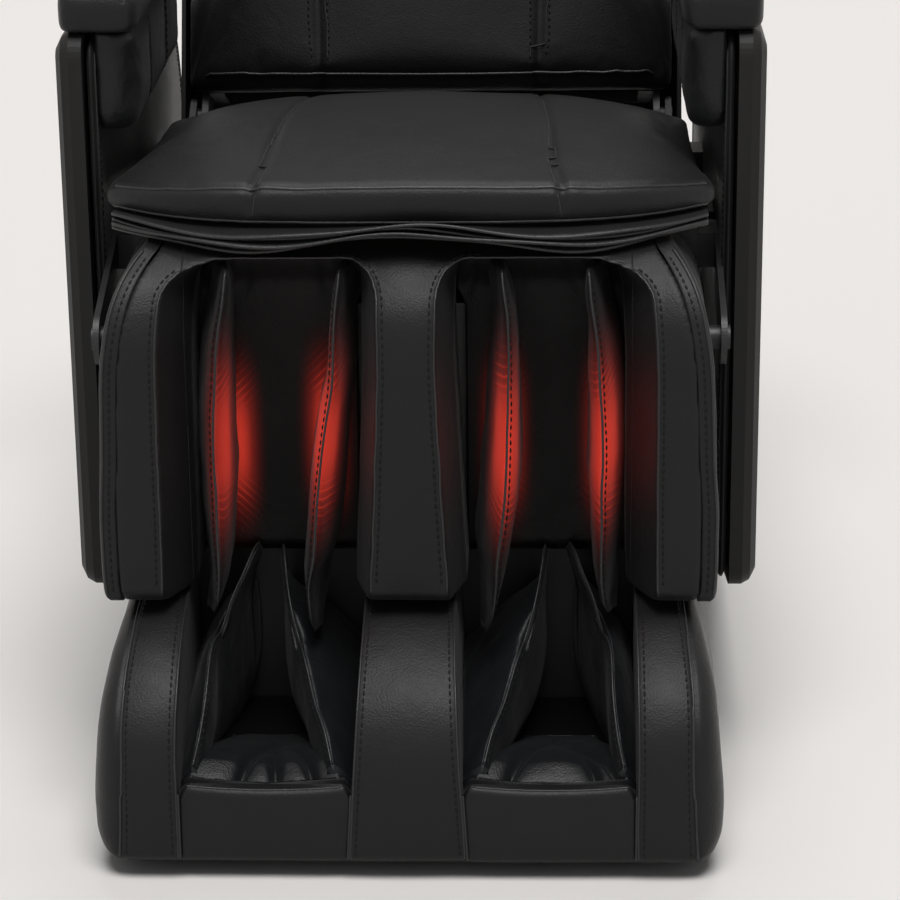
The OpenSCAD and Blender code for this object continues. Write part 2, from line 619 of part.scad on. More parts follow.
module wheel(s, k) color("#c8b48c") in_back() scale_x(s)
    translate([arm_x + 12, knead[0] + wheel_dv, knead[1] + k * wheel_du]) rotate([0, 90, 0]) difference() {
        rotate_extrude($fn = 64) hull() {
            square([wheel_r - 8, 28]);
            translate([wheel_r - 7, 7]) circle(7, $fn = 32);
            translate([wheel_r - 7, 21]) circle(7, $fn = 32);
        }
        translate([0, 0, -1]) cylinder(h = 30, r = 4 + fit, $fn = rounded);
    }

// ---------------------------------------------------------------- actuators
// tube with its motor, from the tail pin towards the rod's end
module actuator_tube(x, tail, end, length, hang) {
    a = atan2(end[1] - tail[1], end[0] - tail[0]);
    translate([x, tail[0], tail[1]]) rotate([a, 0, 0]) difference() {
        union() {
            translate([-7, -12, -12]) cube([14, 34, 24]);
            translate([0, 20, 0]) rotate([-90, 0, 0])
                cylinder(h = length - 20, r = actuator_r, $fn = rounded);
            translate([0, 24, -46 * hang]) rotate([-90, 0, 0]) cylinder(h = 110, r = 22, $fn = rounded);
            translate([-18, 22, hang > 0 ? -50 : 0]) cube([36, 26, 50]);
        }
        translate([-8, 0, 0]) rotate([0, 90, 0]) cylinder(h = 16, r = tail_r + fit, $fn = rounded);
        translate([0, 46, 0]) rotate([-90, 0, 0]) cylinder(h = length, r = 10 + fit, $fn = rounded);
    }
}
module actuator_rod(x, tail, end, from) {
    a = atan2(end[1] - tail[1], end[0] - tail[0]);
    span = norm(end - tail);
    translate([x, tail[0], tail[1]]) rotate([a, 0, 0]) difference() {
        union() {
            translate([0, from, 0]) rotate([-90, 0, 0]) cylinder(h = span - from - 6, r = 10, $fn = rounded);
            translate([-8, span, 0]) rotate([0, 90, 0]) cylinder(h = 16, r = 12, $fn = rounded);
        }
        translate([-9, span, 0]) rotate([0, 90, 0]) cylinder(h = 18, r = tail_r, $fn = rounded);
    }
}
back_tube_l = 255;
leg_tube_l = 300;
module back_actuator_tube() color("#2b2d31") place()
    actuator_tube(actuator_x, back_tail, back_end, back_tube_l, 1);
module back_actuator_rod() bright() place() actuator_rod(actuator_x, back_tail, back_end, 150);
module leg_actuator_tube() color("#2b2d31") place()
    actuator_tube(-actuator_x, leg_tail, leg_end, leg_tube_l, -1);
module leg_actuator_rod() bright() place() actuator_rod(-actuator_x, leg_tail, leg_end, 60);

// ---------------------------------------------------------------- calf section
round_r = calf_d / 2;                                 // rounding of the section's top, about the hinge
plate_x = half_leg - side_pad_t - 5.5;                // inner face of the calf frame's side plates
plate_r = calf_d / 10;
sleeve_y = calf_back - 18;                            // guide rods of the foot section
sleeve_x = plate_x - 24;
module calf_frame() black_steel() place() difference() {
    union() {
        pair() {
            along_x(plate_x, plate_x + plate_t) hull() {
                translate(pivot) circle(plate_r, $fn = rounded);
                translate([board_y, calf_z + 8]) square([calf_back - board_y - 10, 40]);
                translate([board_y, pivot[1] - 10]) square([calf_back - board_y - 24, 24]);
            }
            pin_x(plate_x, ear_x + ear_t + 3, pin_r, pivot);
            // sleeves for the foot section's guide rods
            translate([sleeve_x, sleeve_y, calf_z + 6]) cylinder(h = 140, r = rod_r + 4, $fn = rounded);
        }
        box([-plate_x - eps, board_y, calf_z + 8], [plate_x + eps, board_y + plate_t, pivot[1] + plate_r]);
        pair() for (z = [calf_z + 20, calf_z + 110])
            box([sleeve_x - 8, board_y + plate_t - eps, z], [sleeve_x + 8, sleeve_y - rod_r - 2, z + 16]);
        // ears for the leg actuator, open at their pivot
        for (x = [-actuator_x - 17, -actuator_x + 12]) along_x(x, x + 5) hull() {
            translate(leg_end) circle(13, $fn = rounded);
            translate([board_y + plate_t - 1, leg_end[1] - 45]) square([2, 60]);
        }
    }
    pair() translate([sleeve_x, sleeve_y, calf_z]) cylinder(h = 160, r = rod_r + fit, $fn = rounded);
    pin_x(-actuator_x - 18, -actuator_x + 18, 8, leg_end);
}

// the section from the side, and its outline from the front, which narrows over the top
module calf_side_outline(inset = 0) intersection() {
    union() {
        translate(pivot) circle(round_r - inset, $fn = 96);
        translate([calf_setback + inset, calf_z + inset])
            square([calf_d - 2 * inset, pivot[1] - calf_z - inset]);
    }
    translate([calf_setback - 1, calf_z + inset]) square([calf_d + 2, calf_h + 2]);
}
calf_narrow = [[0, 4], [0.04, 1], [0.12, 0], [0.24, 0], [0.43, 3], [0.68, 6], [0.77, 9], [0.84, 13],
    [0.91, 20], [0.96, 29], [1, 40]];
function calf_half(z) = half_leg - table((z - calf_z) / calf_h, calf_narrow);
// front and rear of the section at height z: straight, then round about the hinge
function calf_depth(z) = z <= pivot[1] ? round_r : sqrt(max(0, round_r * round_r - pow(z - pivot[1], 2)));
function calf_front(z) = pivot[0] - calf_depth(z);
function calf_rear(z, limit) = min(limit, pivot[0] + calf_depth(z));
// how far the top has turned over at height z, from 0 to 1
function calf_round(z) = 1 - calf_depth(z) / round_r;
calf_foot = 9;                                        // rounding of the bolsters' lower ends
calf_zs = concat([for (k = [0, 0.06, 0.3, 1]) calf_z + k * calf_foot],
    [for (t = [0.2, 0.45, 0.75, 1]) mix(calf_z + calf_foot, pivot[1], t)],
    [for (k = [0.218, 0.235, 0.4, 0.56, 0.7, 0.82, 0.91, 0.965, 0.995]) pivot[1] + k * round_r]);
// inner face of the side pads: outside the steel plates, and drawn in above them
function pad_in(z) = z > pivot[1] + 0.22 * round_r ? calf_half(z) - 15 : plate_x + plate_t;
function bolster_in(z) = well_out - 2 - 7 * calf_round(z);
function bolster_out(z) = z > pivot[1] + 0.22 * round_r ? pad_in(z) - soft_gap : plate_x;

shell_rim = [for (k = [0, 0.235, 0.4, 0.56, 0.7, 0.82, 0.93, 1]) let (z = pivot[1] + k * round_r)
    [min(plate_x, calf_half(z) - 15), z]];
module calf_shell() plastic() place() intersection() {
    difference() {
        along_x(-plate_x, plate_x) difference() {
            calf_side_outline();
            calf_side_outline(plate_t);
            translate([calf_setback - 1, calf_z - 1]) square([board_y - calf_setback + 1, calf_h + 2]);
            translate([calf_setback, calf_z - 1]) square([calf_d - plate_t, 30]);
        }
        // slot for the actuator's ears and rod
        box([-actuator_x - 24, calf_back - 20, leg_end[1] - 90],
            [-actuator_x + 24, calf_back + 1, leg_end[1] + 60]);
    }
    translate([0, calf_back + 1, 0]) rotate([90, 0, 0]) linear_extrude(calf_d) polygon(concat(
        shell_rim, [for (i = [len(shell_rim) - 1:-1:0]) [-shell_rim[i][0], shell_rim[i][1]]],
        [[-plate_x, calf_z - 1], [plate_x, calf_z - 1]]));
}

module calf_side_pads() leather() place() pair() difference() {
    loft([for (z = calf_zs) let (e = draw_in(z - calf_z, 7))
        ring_z(pad_in(z), calf_half(z) - e * 0.7,
            calf_front(z) + e + 1, calf_rear(z, calf_back) - e, z, 4.5)]);
    pin_x(plate_x, half_leg + 1, pin_r + 1, pivot);
}

// a bolster between a well and the section's side: flat front, and an inner side that slants into the well
slant = 24;                                           // how much wider the bolsters are at the back
module calf_bolster(s) leather() place() scale_x(s) loft([for (z = calf_zs) let (
        e = draw_in(z - calf_z, calf_foot), y0 = calf_front(z) + e, y1 = calf_rear(z, board_y), d = y1 - y0,
        xo = bolster_out(z) - e * 0.5, xi = bolster_in(z) + e)
    at_z(round_poly([[xo, y0], [xo, y1], [xi - slant, y1], [xi - slant, y0 + d * 0.4], [xi, y0]],
        min(6, d * 0.15)), z)]);

// half width of the centre bolster's front at height z
function center_half(z) = let (t = (z - calf_z) / calf_h)
    center_w / 2 + 8 * pow(1 - t, 1.5) + 5 * pow(clamp01((t - 0.8) / 0.2), 2);
roll_z = calf_top - 9;                                // underside of the roll across the top of the wells
module calf_center_cushion() leather() place() {
    loft([for (z = calf_zs) let (e = draw_in(z - calf_z, calf_foot), w = center_half(z) - e,
            y0 = calf_front(z) + e, y1 = calf_rear(z, board_y), d = y1 - y0, wb = w + 14)
        at_z(round_poly([[w, y0], [wb, y0 + d * 0.4], [wb, y1], [-wb, y1], [-wb, y0 + d * 0.4], [-w, y0]],
            min(6, d * 0.15)), z)]);
    pair() along_x(20, well_out - 45) intersection() {
        calf_side_outline(0.6);
        translate([calf_setback, roll_z]) square([board_y - calf_setback, 30]);
    }
}

back_pad_y = board_y - 14;                            // front face of the pads at the back of the wells
lining_h = 42;                                        // height over which their lining comes forward to the roll
function lining_y(z) = back_pad_y - 52 * pow(clamp01((z - roll_z + lining_h) / lining_h), 2);
module calf_back_pads() leather() place() pair() {
    z0 = calf_z + 4;
    z1 = roll_z - soft_gap;
    zs = concat([for (k = [0, 0.06, 0.3, 1]) z0 + 7 * k], [calf_z + calf_h / 2],
        [for (h = [230, 244, 255, 262, 269]) calf_z + h * calf_h / 286], [for (k = [0.3, 0.06, 0]) z1 - 7 * k]);
    loft([for (z = zs) let (e = draw_in(min(z - z0, z1 - z), 7))
        ring_z(center_half(calf_z) + 14 + soft_gap, bolster_in(z) - slant - soft_gap, lining_y(z) + e,
            calf_rear(z, board_y), z, 4)]);
}

// ---- air pads in the calf wells: leaf shaped, with a sewn ridge towards the front ----
// [height above the calf section's underside, ridge x, ridge depth behind the front, half thickness]
pad_outer = [[-16, 163, 22, 1], [-6, 159, 17, 6], [15, 157, 15, 11], [60, 157, 14, 15], [110, 157, 13, 17],
             [165, 156, 14, 16], [200, 154, 18, 14], [230, 151, 25, 11], [244, 149, 30, 10],
             [255, 147, 35, 8], [262, 146, 39, 6], [269, 145, 44, 4]];
pad_inner = [[-34, 79, 24, 1], [-20, 82, 18, 5], [5, 83, 16, 10], [35, 79, 14, 14], [90, 73, 13, 15],
             [140, 67, 14, 13], [190, 60, 18, 11], [230, 58, 26, 9], [244, 57, 30, 8],
             [255, 56, 35, 7], [262, 55, 39, 5.5], [269, 55, 44, 4]];
// a leaf section: ridge at the front, root on the back pad
function leaf(x, y, half, root, lean) = let (back = max(root, y + 4), d = back - y) [
    [x, y], [x + half * 0.32, y + d * 0.1], [x + half * 0.68 + lean * 0.3, y + d * 0.42],
    [x + half + lean, y + d * 0.85], [x + half * 0.9 + lean, back],
    [x - half * 0.9 + lean, back], [x - half + lean, y + d * 0.85],
    [x - half * 0.68 + lean * 0.3, y + d * 0.42], [x - half * 0.32, y + d * 0.1]];
module calf_air_pads(rows, lean) leather() place() pair() loft([for (r = rows)
    let (y = calf_setback + r[2], z = calf_z + r[0] * calf_h / 286)
    at_z(leaf(calf_x(r[1]), y, r[3] * calf_share, min(lining_y(z), y + 6 + 10 * r[3]), lean), z)]);

// thin carbon heating films sewn into each calf pad, behind its ridge
module calf_heaters() color("#b3261e") place() pair() for (x = [calf_x(157), calf_x(73)])
    box([x - 0.5, calf_setback + 24, calf_z + 70], [x + 0.5, calf_setback + 54, calf_z + 170]);

// ---------------------------------------------------------------- foot section
foot_curve = [calf_setback + 75, foot_h * 0.6];       // [depth, height] of the instep's curve
foot_inside = foot_d - 30;                            // front face of the tray's rear wall
function foot_front(h) = let (k = clamp01((h - (foot_h - foot_curve[1])) / foot_curve[1]))
    foot_curve[0] * (1 - sqrt(max(0, 1 - k * k)));
// outer half width of the foot section at a share of its height
foot_widths = [[0, -12], [0.04, -5], [0.13, -0.5], [0.25, 0], [0.45, -2.5], [0.65, -5.5], [0.77, -9.5],
    [0.88, -15.5], [1, -25]];
function foot_half(t) = half_foot + table(t, foot_widths);
foot_ts = [0, 0.004, 0.02, 0.05, 0.13, 0.25, 0.4, 0.5, 0.6, 0.7, 0.78, 0.85, 0.9, 0.94, 0.97, 0.99, 0.998];
module foot_bolster(s) leather() place() scale_x(s) loft([for (t = foot_ts)
    let (h = foot_h * t, e = draw_in(h, 8)) ring_z(foot_well_out + e * 0.4, foot_half(t) - e * 0.4,
        foot_front(h) + e, foot_inside, foot_z + h, 8)]);

function foot_center_half(t) = foot_well_in - 11 * clamp01(t);
room_z = roller[1] + 20;                              // top of the drive's room under the centre bolster
module foot_bolster_center() leather() place() difference() {
    loft([for (t = foot_ts) let (h = foot_h * t, e = draw_in(h, 8), w = foot_center_half(t) - e * 0.4)
        ring_z(-w, w, foot_front(h) + e, foot_inside, foot_z + h, 8)]);
    box([-80, roller[0] - 50, 0], [80, roller[0] + 75, room_z]);
}

tray_half = half_foot - 26;
module foot_tray() plastic() place() difference() {
    union() {
        box([-tray_half, 14, floor_gap], [tray_half, foot_d, foot_z]);
        box([-tray_half, foot_inside, foot_z - eps], [tray_half, foot_d, foot_top - 1]);
        // bearing blocks of the roller shaft, and its gearmotor under the centre bolster
        for (x = [-foot_well_out + 2, foot_well_out - 12])
            box([x, roller[0] - 12, foot_z - eps], [x + 10, roller[0] + 12, roller[1] + 12]);
        box([-22, roller[0] - 18, foot_z - eps], [22, roller[0] + 26, roller[1] + 16]);
        translate([0, roller[0], roller[1]]) rotate([-90, 0, 0]) cylinder(h = 70, r = 15, $fn = rounded);
    }
    difference() {
        box([-tray_half + 4, foot_inside + 4, foot_z], [tray_half - 4, foot_d - 4, foot_top]);
        pair() box([sleeve_x - 13, foot_inside, foot_z - 1], [sleeve_x + 13, foot_d, foot_top - 70]);
    }
    pair() translate([sleeve_x, sleeve_y, rod_z]) cylinder(h = 200, r = rod_r, $fn = rounded);
    pin_x(-foot_well_out, foot_well_out, shaft_r + fit, roller);
}

disc_step = (foot_well_w - 34.5) / 3;                 // pitch of the roller's three discs in a well
module foot_roller() color("#8b8d92") place() union() {
    pin_x(-foot_well_out + 1, foot_well_out - 1, shaft_r, roller);
    pair() for (k = [0:2]) let (x = foot_well_in + 16 + k * disc_step, w = disc_step - 10)
        translate([x, roller[0], roller[1]]) rotate([0, 90, 0]) rotate_extrude($fn = 48)
            polygon([[5, 0], [roller_r - 4, 0], [roller_r, 7], [roller_r, w - 7], [roller_r - 4, w], [5, w]]);
}

module toe_pads() leather() place() pair() loft([for (h = stations(0, toe_h, 6))
    let (e = draw_in(min(h, toe_h - h), 6), g = soft_gap + e * 0.3)
    ring_z(foot_center_half(h / foot_h) + g, foot_well_out - g, 1 + foot_front(h) + e,
        toe_t - e * 0.5, foot_z + h, 6)]);

// ---- air pads at the sides of the foot wells ----
// [distance from the front, ridge x, ridge height above the sole cover]
foot_pad_outer = [[26, 174, 30], [45, 169, 52], [70, 166, 76], [110, 165, 99], [150, 155, 116],
    [185, 146, 122], [215, 140, 120], [233, 138, 112]];
foot_pad_inner = [[26, 62, 32], [45, 68, 50], [70, 77, 64], [110, 88, 88], [150, 100, 112],
    [185, 106, 118], [215, 108, 116], [233, 108, 108]];
// thin upper tips of the pads, reaching into the calf wells: [distance from the front, x, height]
tip_outer = [[125, 160, 100], [150, 152, 122], [175, 142, 140], [195, 134, 154], [203, 131, 156]];
tip_inner = [[125, 92, 92], [150, 102, 120], [175, 107, 138], [195, 110, 152], [203, 111, 154]];
sole_z = roller[1] + roller_r + 3;                    // underside of the sole covers
sole_t = 10;
sole_top = sole_z + sole_t;
function foot_wall(z, side) = side > 0
    ? foot_well_out - soft_gap : foot_center_half((z - foot_z) / foot_h) + soft_gap;
function foot_leaf(x, h, side) = let (top = sole_top + h, mid = sole_top + h / 2, d = foot_wall(mid, side) - x) [
    [x, top], [x - side * 4, sole_top + h * 0.75], [x - side * 2, sole_top + h * 0.35],
    [x + d * 0.2, sole_top], [foot_wall(sole_top, side), sole_top], [foot_wall(mid, side), mid],
    [x + d * 0.5, sole_top + h * 0.82]];
function tip_leaf(x, h, low) = let (top = sole_top + h) [
    [x - 3.5, low], [x + 3.5, low], [x + 3, top - 6], [x, top], [x - 3, top - 6]];
module foot_air_pads(rows, tips, side) leather() place() pair() {
    loft([for (r = rows) at_y(foot_leaf(foot_x(r[1]), r[2], side), min(r[0], foot_inside))]);
    loft([for (r = tips) at_y(tip_leaf(foot_x(r[1]), r[2], sole_top + min(r[2] - 12, 84)), r[0])]);
}

// sole covers, and a gathered lining that rises from each to the toe pad
// [distance from the front, inner x, outer x, height above the sole cover]
lining = [[24.3, 66, 167, 13], [29, 68, 166, 16], [38, 73, 163, 14], [52, 79, 161, 9],
    [68, 85, 159, 4], [84, 90, 158, 1.2]];
fold_n = 14;
function lining_ring(r) = let (a = foot_x(r[1]), b = foot_x(r[2])) concat(
    [[a, r[0], sole_top - 2], [b, r[0], sole_top - 2]],
    [for (i = [fold_n:-1:0]) [mix(a, b, i / fold_n), r[0], sole_top
        + r[3] * (0.6 + 0.4 * sin(180 * i / fold_n) + 0.14 * cos(360 * 3.5 * i / fold_n))]]);
module sole_covers() leather() place() pair() {
    loft([for (y = stations(toe_t, foot_inside, 5))
        let (e = draw_in(min(y - toe_t, foot_inside - y), 5) * 0.5)
        ring_y(foot_well_in + 1, foot_well_out - 1, sole_z + e, sole_top - e, y, 4)]);
    loft([for (r = lining) lining_ring(r)]);
}

rod_z = floor_gap + 60;                               // lower end of the guide rods
module foot_rods() bright() place() pair() translate([sleeve_x, sleeve_y, rod_z])
    cylinder(h = calf_z + 190 - rod_z, r = rod_r, $fn = rounded);

base_frame();
base_feet();
transport_wheel(-1);  // transport_wheel_left
transport_wheel(1);  // transport_wheel_right
seat_frame();
seat_board();
seat_cushion();
seat_front_flap();
side_shell(-1);  // side_shell_left
side_shell(1);  // side_shell_right
side_liners();
armrest(-1);  // armrest_left
armrest(1);  // armrest_right
arm_air_pads();
control_panel();
button(0, "#c9cbd0");  // button_power
button(1, "#6d7076");  // button_mode
button(2, "#b3261e");  // button_heat
rear_cover();
power_inlet();
power_switch();
air_pump();
control_box();
back_frame();
back_shell();
back_cushion();
back_wings();
head_pillow();
massage_carriage();
lift_screw();
massage_arm(-1);  // massage_arm_left
massage_arm(1);  // massage_arm_right
wheel(-1, 1);  // wheel_left_upper
wheel(-1, -1);  // wheel_left_lower
wheel(1, 1);  // wheel_right_upper
wheel(1, -1);  // wheel_right_lower
back_actuator_tube();
back_actuator_rod();
leg_actuator_tube();
leg_actuator_rod();
calf_frame();
calf_shell();
calf_side_pads();
calf_bolster(-1);  // calf_bolster_left
calf_bolster(1);  // calf_bolster_right
calf_center_cushion();
calf_back_pads();
calf_air_pads(pad_outer, 6);  // calf_air_pads_outer
calf_air_pads(pad_inner, -4);  // calf_air_pads_inner
calf_heaters();
foot_tray();
foot_bolster(-1);  // foot_bolster_left
foot_bolster(1);  // foot_bolster_right
foot_bolster_center();
toe_pads();
foot_air_pads(foot_pad_outer, tip_outer, 1);  // foot_air_pads_outer
foot_air_pads(foot_pad_inner, tip_inner, -1);  // foot_air_pads_inner
sole_covers();
foot_rods();
foot_roller();
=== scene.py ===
"""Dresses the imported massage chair: upholstery, seams and stitches, materials, floor, lights and camera.

The functions work in millimetres in the source's own frame, where Y is counted from the front of the foot
section. to_scene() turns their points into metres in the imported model's frame.
"""
import math

import bmesh
import bpy
import numpy as np
from mathutils import Matrix, Vector
from mathutils.bvhtree import BVHTree


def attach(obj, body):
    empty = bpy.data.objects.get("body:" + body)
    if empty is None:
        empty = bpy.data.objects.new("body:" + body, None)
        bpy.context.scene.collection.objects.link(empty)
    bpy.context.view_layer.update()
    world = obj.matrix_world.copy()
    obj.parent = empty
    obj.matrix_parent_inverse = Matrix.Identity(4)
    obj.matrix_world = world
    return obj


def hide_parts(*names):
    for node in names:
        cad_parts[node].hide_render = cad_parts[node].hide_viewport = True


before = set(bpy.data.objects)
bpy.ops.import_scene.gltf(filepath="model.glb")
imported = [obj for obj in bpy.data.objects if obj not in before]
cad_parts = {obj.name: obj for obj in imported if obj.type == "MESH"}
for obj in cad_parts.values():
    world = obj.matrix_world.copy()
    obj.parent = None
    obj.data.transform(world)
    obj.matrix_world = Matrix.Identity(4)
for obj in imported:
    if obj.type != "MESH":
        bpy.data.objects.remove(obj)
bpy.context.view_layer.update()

# ---------------------------------------------------------------- the source's dimensions, in millimetres
CHAIR_L = 1039.777
HALF_LEG, HALF_FOOT, HALF_BODY, HALF_BACK = 251.0, 255.5, 291.0, 240.0
CALF_Z, CALF_TOP, CALF_FRONT, BOARD_Y, CALF_BACK = 204.0, 490.0, 95.0, 222.0, 265.0
PIVOT_Y, PIVOT_Z, ROUND_R = 180.0, 405.0, 85.0
BACK_PAD_Y, ROLL_Z, LINING_H = 208.0, 481.0, 42.0
FOOT_Z, FOOT_H, FOOT_INSIDE = 15.0, 185.0, 235.0
FOOT_WELL_OUT, FOOT_WELL_IN, SOLE_TOP = 184.5, 48.0, 62.0
SEAT_FRONT, SEAT_D, SEAT_HALF, SEAT_Z, PAN_T = 150.0, 472.0, 249.0, 497.0, 10.0
RAIL_TOP, RAIL_Y0, TUBE, BOARD_Y1 = 460.0, 285.0, 30.0, 628.0
LINER_IN, SHELL_IN, SHELL_Y0, ARM_Z, ARM_T = 259.0, 268.0, 235.0, 645.0, 40.0
ARM_PAD_H, ARM_PAD_T = 92.0, 37.0
HINGE_Y, HINGE_Z, BACK_LEAN, BACK_L, BACK_PAD_T = 690.0, 470.0, 22.0, 690.0, 52.0
MEMBER_V0 = -8.0

# Rows of the source's air pads. Calf pads: [up from the calf section's lower end, x of the ridge, ridge behind the
# section's front, half width]. Foot pads and their tips: [y, x of the ridge, height above the sole].
CALF_PAD_OUTER = [[-16, 163, 22, 1], [-6, 159, 17, 6], [15, 157, 15, 11], [60, 157, 14, 15], [110, 157, 13, 17],
                  [165, 156, 14, 16], [200, 154, 18, 14], [230, 151, 25, 11], [255, 147, 35, 8], [269, 145, 44, 4]]
CALF_PAD_INNER = [[-34, 79, 24, 1], [-20, 82, 18, 5], [5, 83, 16, 10], [35, 79, 14, 14], [90, 73, 13, 15],
                  [140, 67, 14, 13], [190, 60, 18, 11], [230, 58, 26, 9], [255, 56, 35, 7], [269, 55, 44, 4]]
# how far the right-hand inner air pad leans away from its place, row by row, and that wider pad's rows
INNER_LEAN = (-17, -15, -13, -6, 5, 13, 22, 23, 22, 22)
INNER_RIGHT_WIDER = 1.15
CALF_PAD_INNER_RIGHT = [[h, x + lean, depth, half * INNER_RIGHT_WIDER]
                        for (h, x, depth, half), lean in zip(CALF_PAD_INNER, INNER_LEAN)]
FOOT_PAD_OUTER = [[26, 174, 30], [45, 169, 52], [70, 166, 76], [110, 165, 99], [150, 155, 116],
                  [185, 146, 122], [215, 140, 120], [233, 138, 112]]
FOOT_PAD_INNER = [[26, 62, 32], [45, 68, 50], [70, 77, 64], [110, 88, 88], [150, 100, 112],
                  [185, 106, 118], [215, 108, 116], [233, 108, 108]]
FOOT_TIP_OUTER = [[125, 160, 100], [150, 152, 122], [175, 142, 140], [195, 134, 154], [203, 131, 156]]
FOOT_TIP_INNER = [[125, 92, 92], [150, 102, 120], [175, 107, 138], [195, 110, 152], [203, 111, 154]]


def to_scene(points):
    p = np.array(points, float)
    p[..., 1] -= CHAIR_L / 2
    return p / 1000


def from_back(points):
    """[x, behind the hinge plane, up the back] to the source's own frame."""
    p = np.array(points, float)
    a = math.radians(BACK_LEAN)
    v, u = p[..., 1].copy(), p[..., 2].copy()
    p[..., 1] = HINGE_Y + v * math.cos(a) + u * math.sin(a)
    p[..., 2] = HINGE_Z - v * math.sin(a) + u * math.cos(a)
    return p


# ---------------------------------------------------------------- camera, floor and light
CAMERA_AZ, CAMERA_EL, CAMERA_ROLL = 2.67, 20.0, -0.89      # degrees
CAMERA_DISTANCE, CAMERA_TARGET = 2650.2, (0.0, 130.0, 280.0)
CAMERA_F, CAMERA_CENTER, PICTURE = 3237.9, (409.6, 501.7), 900.0   # pixels of the 900 x 900 picture
SENSOR = 36.0                                                      # millimetres, as a full-frame camera has


def make_camera():
    az, el, roll = (math.radians(a) for a in (CAMERA_AZ, CAMERA_EL, CAMERA_ROLL))
    back = Vector((math.sin(az) * math.cos(el), -math.cos(az) * math.cos(el), math.sin(el)))
    right = (-back).cross(Vector((0, 0, 1))).normalized()
    up = right.cross(-back)
    turned_right = right * math.cos(roll) + up * math.sin(roll)
    turned_up = up * math.cos(roll) - right * math.sin(roll)
    place = Vector(to_scene(CAMERA_TARGET)) + back * (CAMERA_DISTANCE / 1000)
    data = bpy.data.cameras.new("camera")
    data.sensor_width = SENSOR
    data.lens = CAMERA_F / PICTURE * data.sensor_width
    data.shift_x = (PICTURE / 2 - CAMERA_CENTER[0]) / PICTURE
    data.shift_y = (CAMERA_CENTER[1] - PICTURE / 2) / PICTURE
    data.clip_end = 60.0
    camera = bpy.data.objects.new("camera", data)
    camera.matrix_world = Matrix.Translation(place) @ Matrix((turned_right, turned_up, back)).transposed().to_4x4()
    bpy.context.collection.objects.link(camera)
    bpy.context.scene.camera = camera


BACKDROP = (0.806, 0.774, 0.747)        # the pale warm grey behind the chair
FLOOR_COLOUR = (0.83, 0.8, 0.775)
SURROUND, SURROUND_STRENGTH = (0.93, 0.96, 1.0), 0.14   # the light from all round
# azimuth, elevation, strength and softness of each sun: a soft high key, one from behind, a weak fill
SUNS = {"key": (10, 74, 2.25, 32), "back": (176, 64, 0.62, 20), "fill": (-34, 46, 0.06, 60)}


def make_sun(name, azimuth, elevation, strength, softness):
    """A sun that shines from azimuth (0 is the front, 90 the right) and elevation; all angles in degrees."""
    az, el = math.radians(azimuth), math.radians(elevation)
    source = Vector((math.sin(az) * math.cos(el), -math.cos(az) * math.cos(el), math.sin(el)))
    data = bpy.data.lights.new(name, "SUN")
    data.energy = strength
    data.angle = math.radians(softness)
    lamp = bpy.data.objects.new(name, data)
    lamp.rotation_euler = source.to_track_quat("Z", "Y").to_euler()
    lamp.location = source * 3
    bpy.context.collection.objects.link(lamp)


def make_stage():
    world = bpy.data.worlds.new("studio")
    world.use_nodes = True
    nodes, links = world.node_tree.nodes, world.node_tree.links
    surround = nodes["Background"]
    surround.inputs["Color"].default_value = (*SURROUND, 1)
    surround.inputs["Strength"].default_value = SURROUND_STRENGTH
    seen = nodes.new("ShaderNodeBackground")
    seen.inputs["Color"].default_value = (*BACKDROP, 1)
    path = nodes.new("ShaderNodeLightPath")
    direct = path.outputs["Is Camera Ray"]
    for ray in ("Is Glossy Ray", "Is Transmission Ray"):
        either = nodes.new("ShaderNodeMath")
        either.operation = "MAXIMUM"
        links.new(direct, either.inputs[0])
        links.new(path.outputs[ray], either.inputs[1])
        direct = either.outputs[0]
    mix = nodes.new("ShaderNodeMixShader")
    links.new(direct, mix.inputs["Fac"])
    links.new(surround.outputs[0], mix.inputs[1])
    links.new(seen.outputs[0], mix.inputs[2])
    links.new(mix.outputs[0], nodes["World Output"].inputs["Surface"])
    bpy.context.scene.world = world
    bpy.context.scene.view_settings.view_transform = "Standard"

    for name, values in SUNS.items():
        make_sun(name, *values)

    bpy.ops.mesh.primitive_plane_add(size=40, location=(0, 8, 0))
    floor = bpy.context.object
    floor.name = "floor"
    material = bpy.data.materials.new("floor")
    material.use_nodes = True
    shader = material.node_tree.nodes["Principled BSDF"]
    shader.inputs["Base Color"].default_value = (*FLOOR_COLOUR, 1)
    shader.inputs["Roughness"].default_value = 0.9
    shader.inputs["Specular IOR Level"].default_value = 0.1
    floor.data.materials.append(material)


make_camera()
make_stage()


# ---------------------------------------------------------------- materials
def node_of(material, kind, **values):
    n = material.node_tree.nodes.new(kind)
    for key, value in values.items():
        if key in n.inputs:
            n.inputs[key].default_value = value
        else:
            setattr(n, key, value)
    return n


def ramp(material, source, stops):
    n = node_of(material, "ShaderNodeValToRGB")
    n.color_ramp.elements[0].position, n.color_ramp.elements[-1].position = stops[0][0], stops[-1][0]
    for element, (_, colour) in zip((n.color_ramp.elements[0], n.color_ramp.elements[-1]), (stops[0], stops[-1])):
        element.color = (*colour, 1)
    for position, colour in stops[1:-1]:
        n.color_ramp.elements.new(position).color = (*colour, 1)
    material.node_tree.links.new(source, n.inputs["Fac"])
    return n.outputs["Color"]


def new_material(name):
    material = bpy.data.materials.new(name)
    material.use_nodes = True
    return material, material.node_tree.nodes["Principled BSDF"], material.node_tree.links


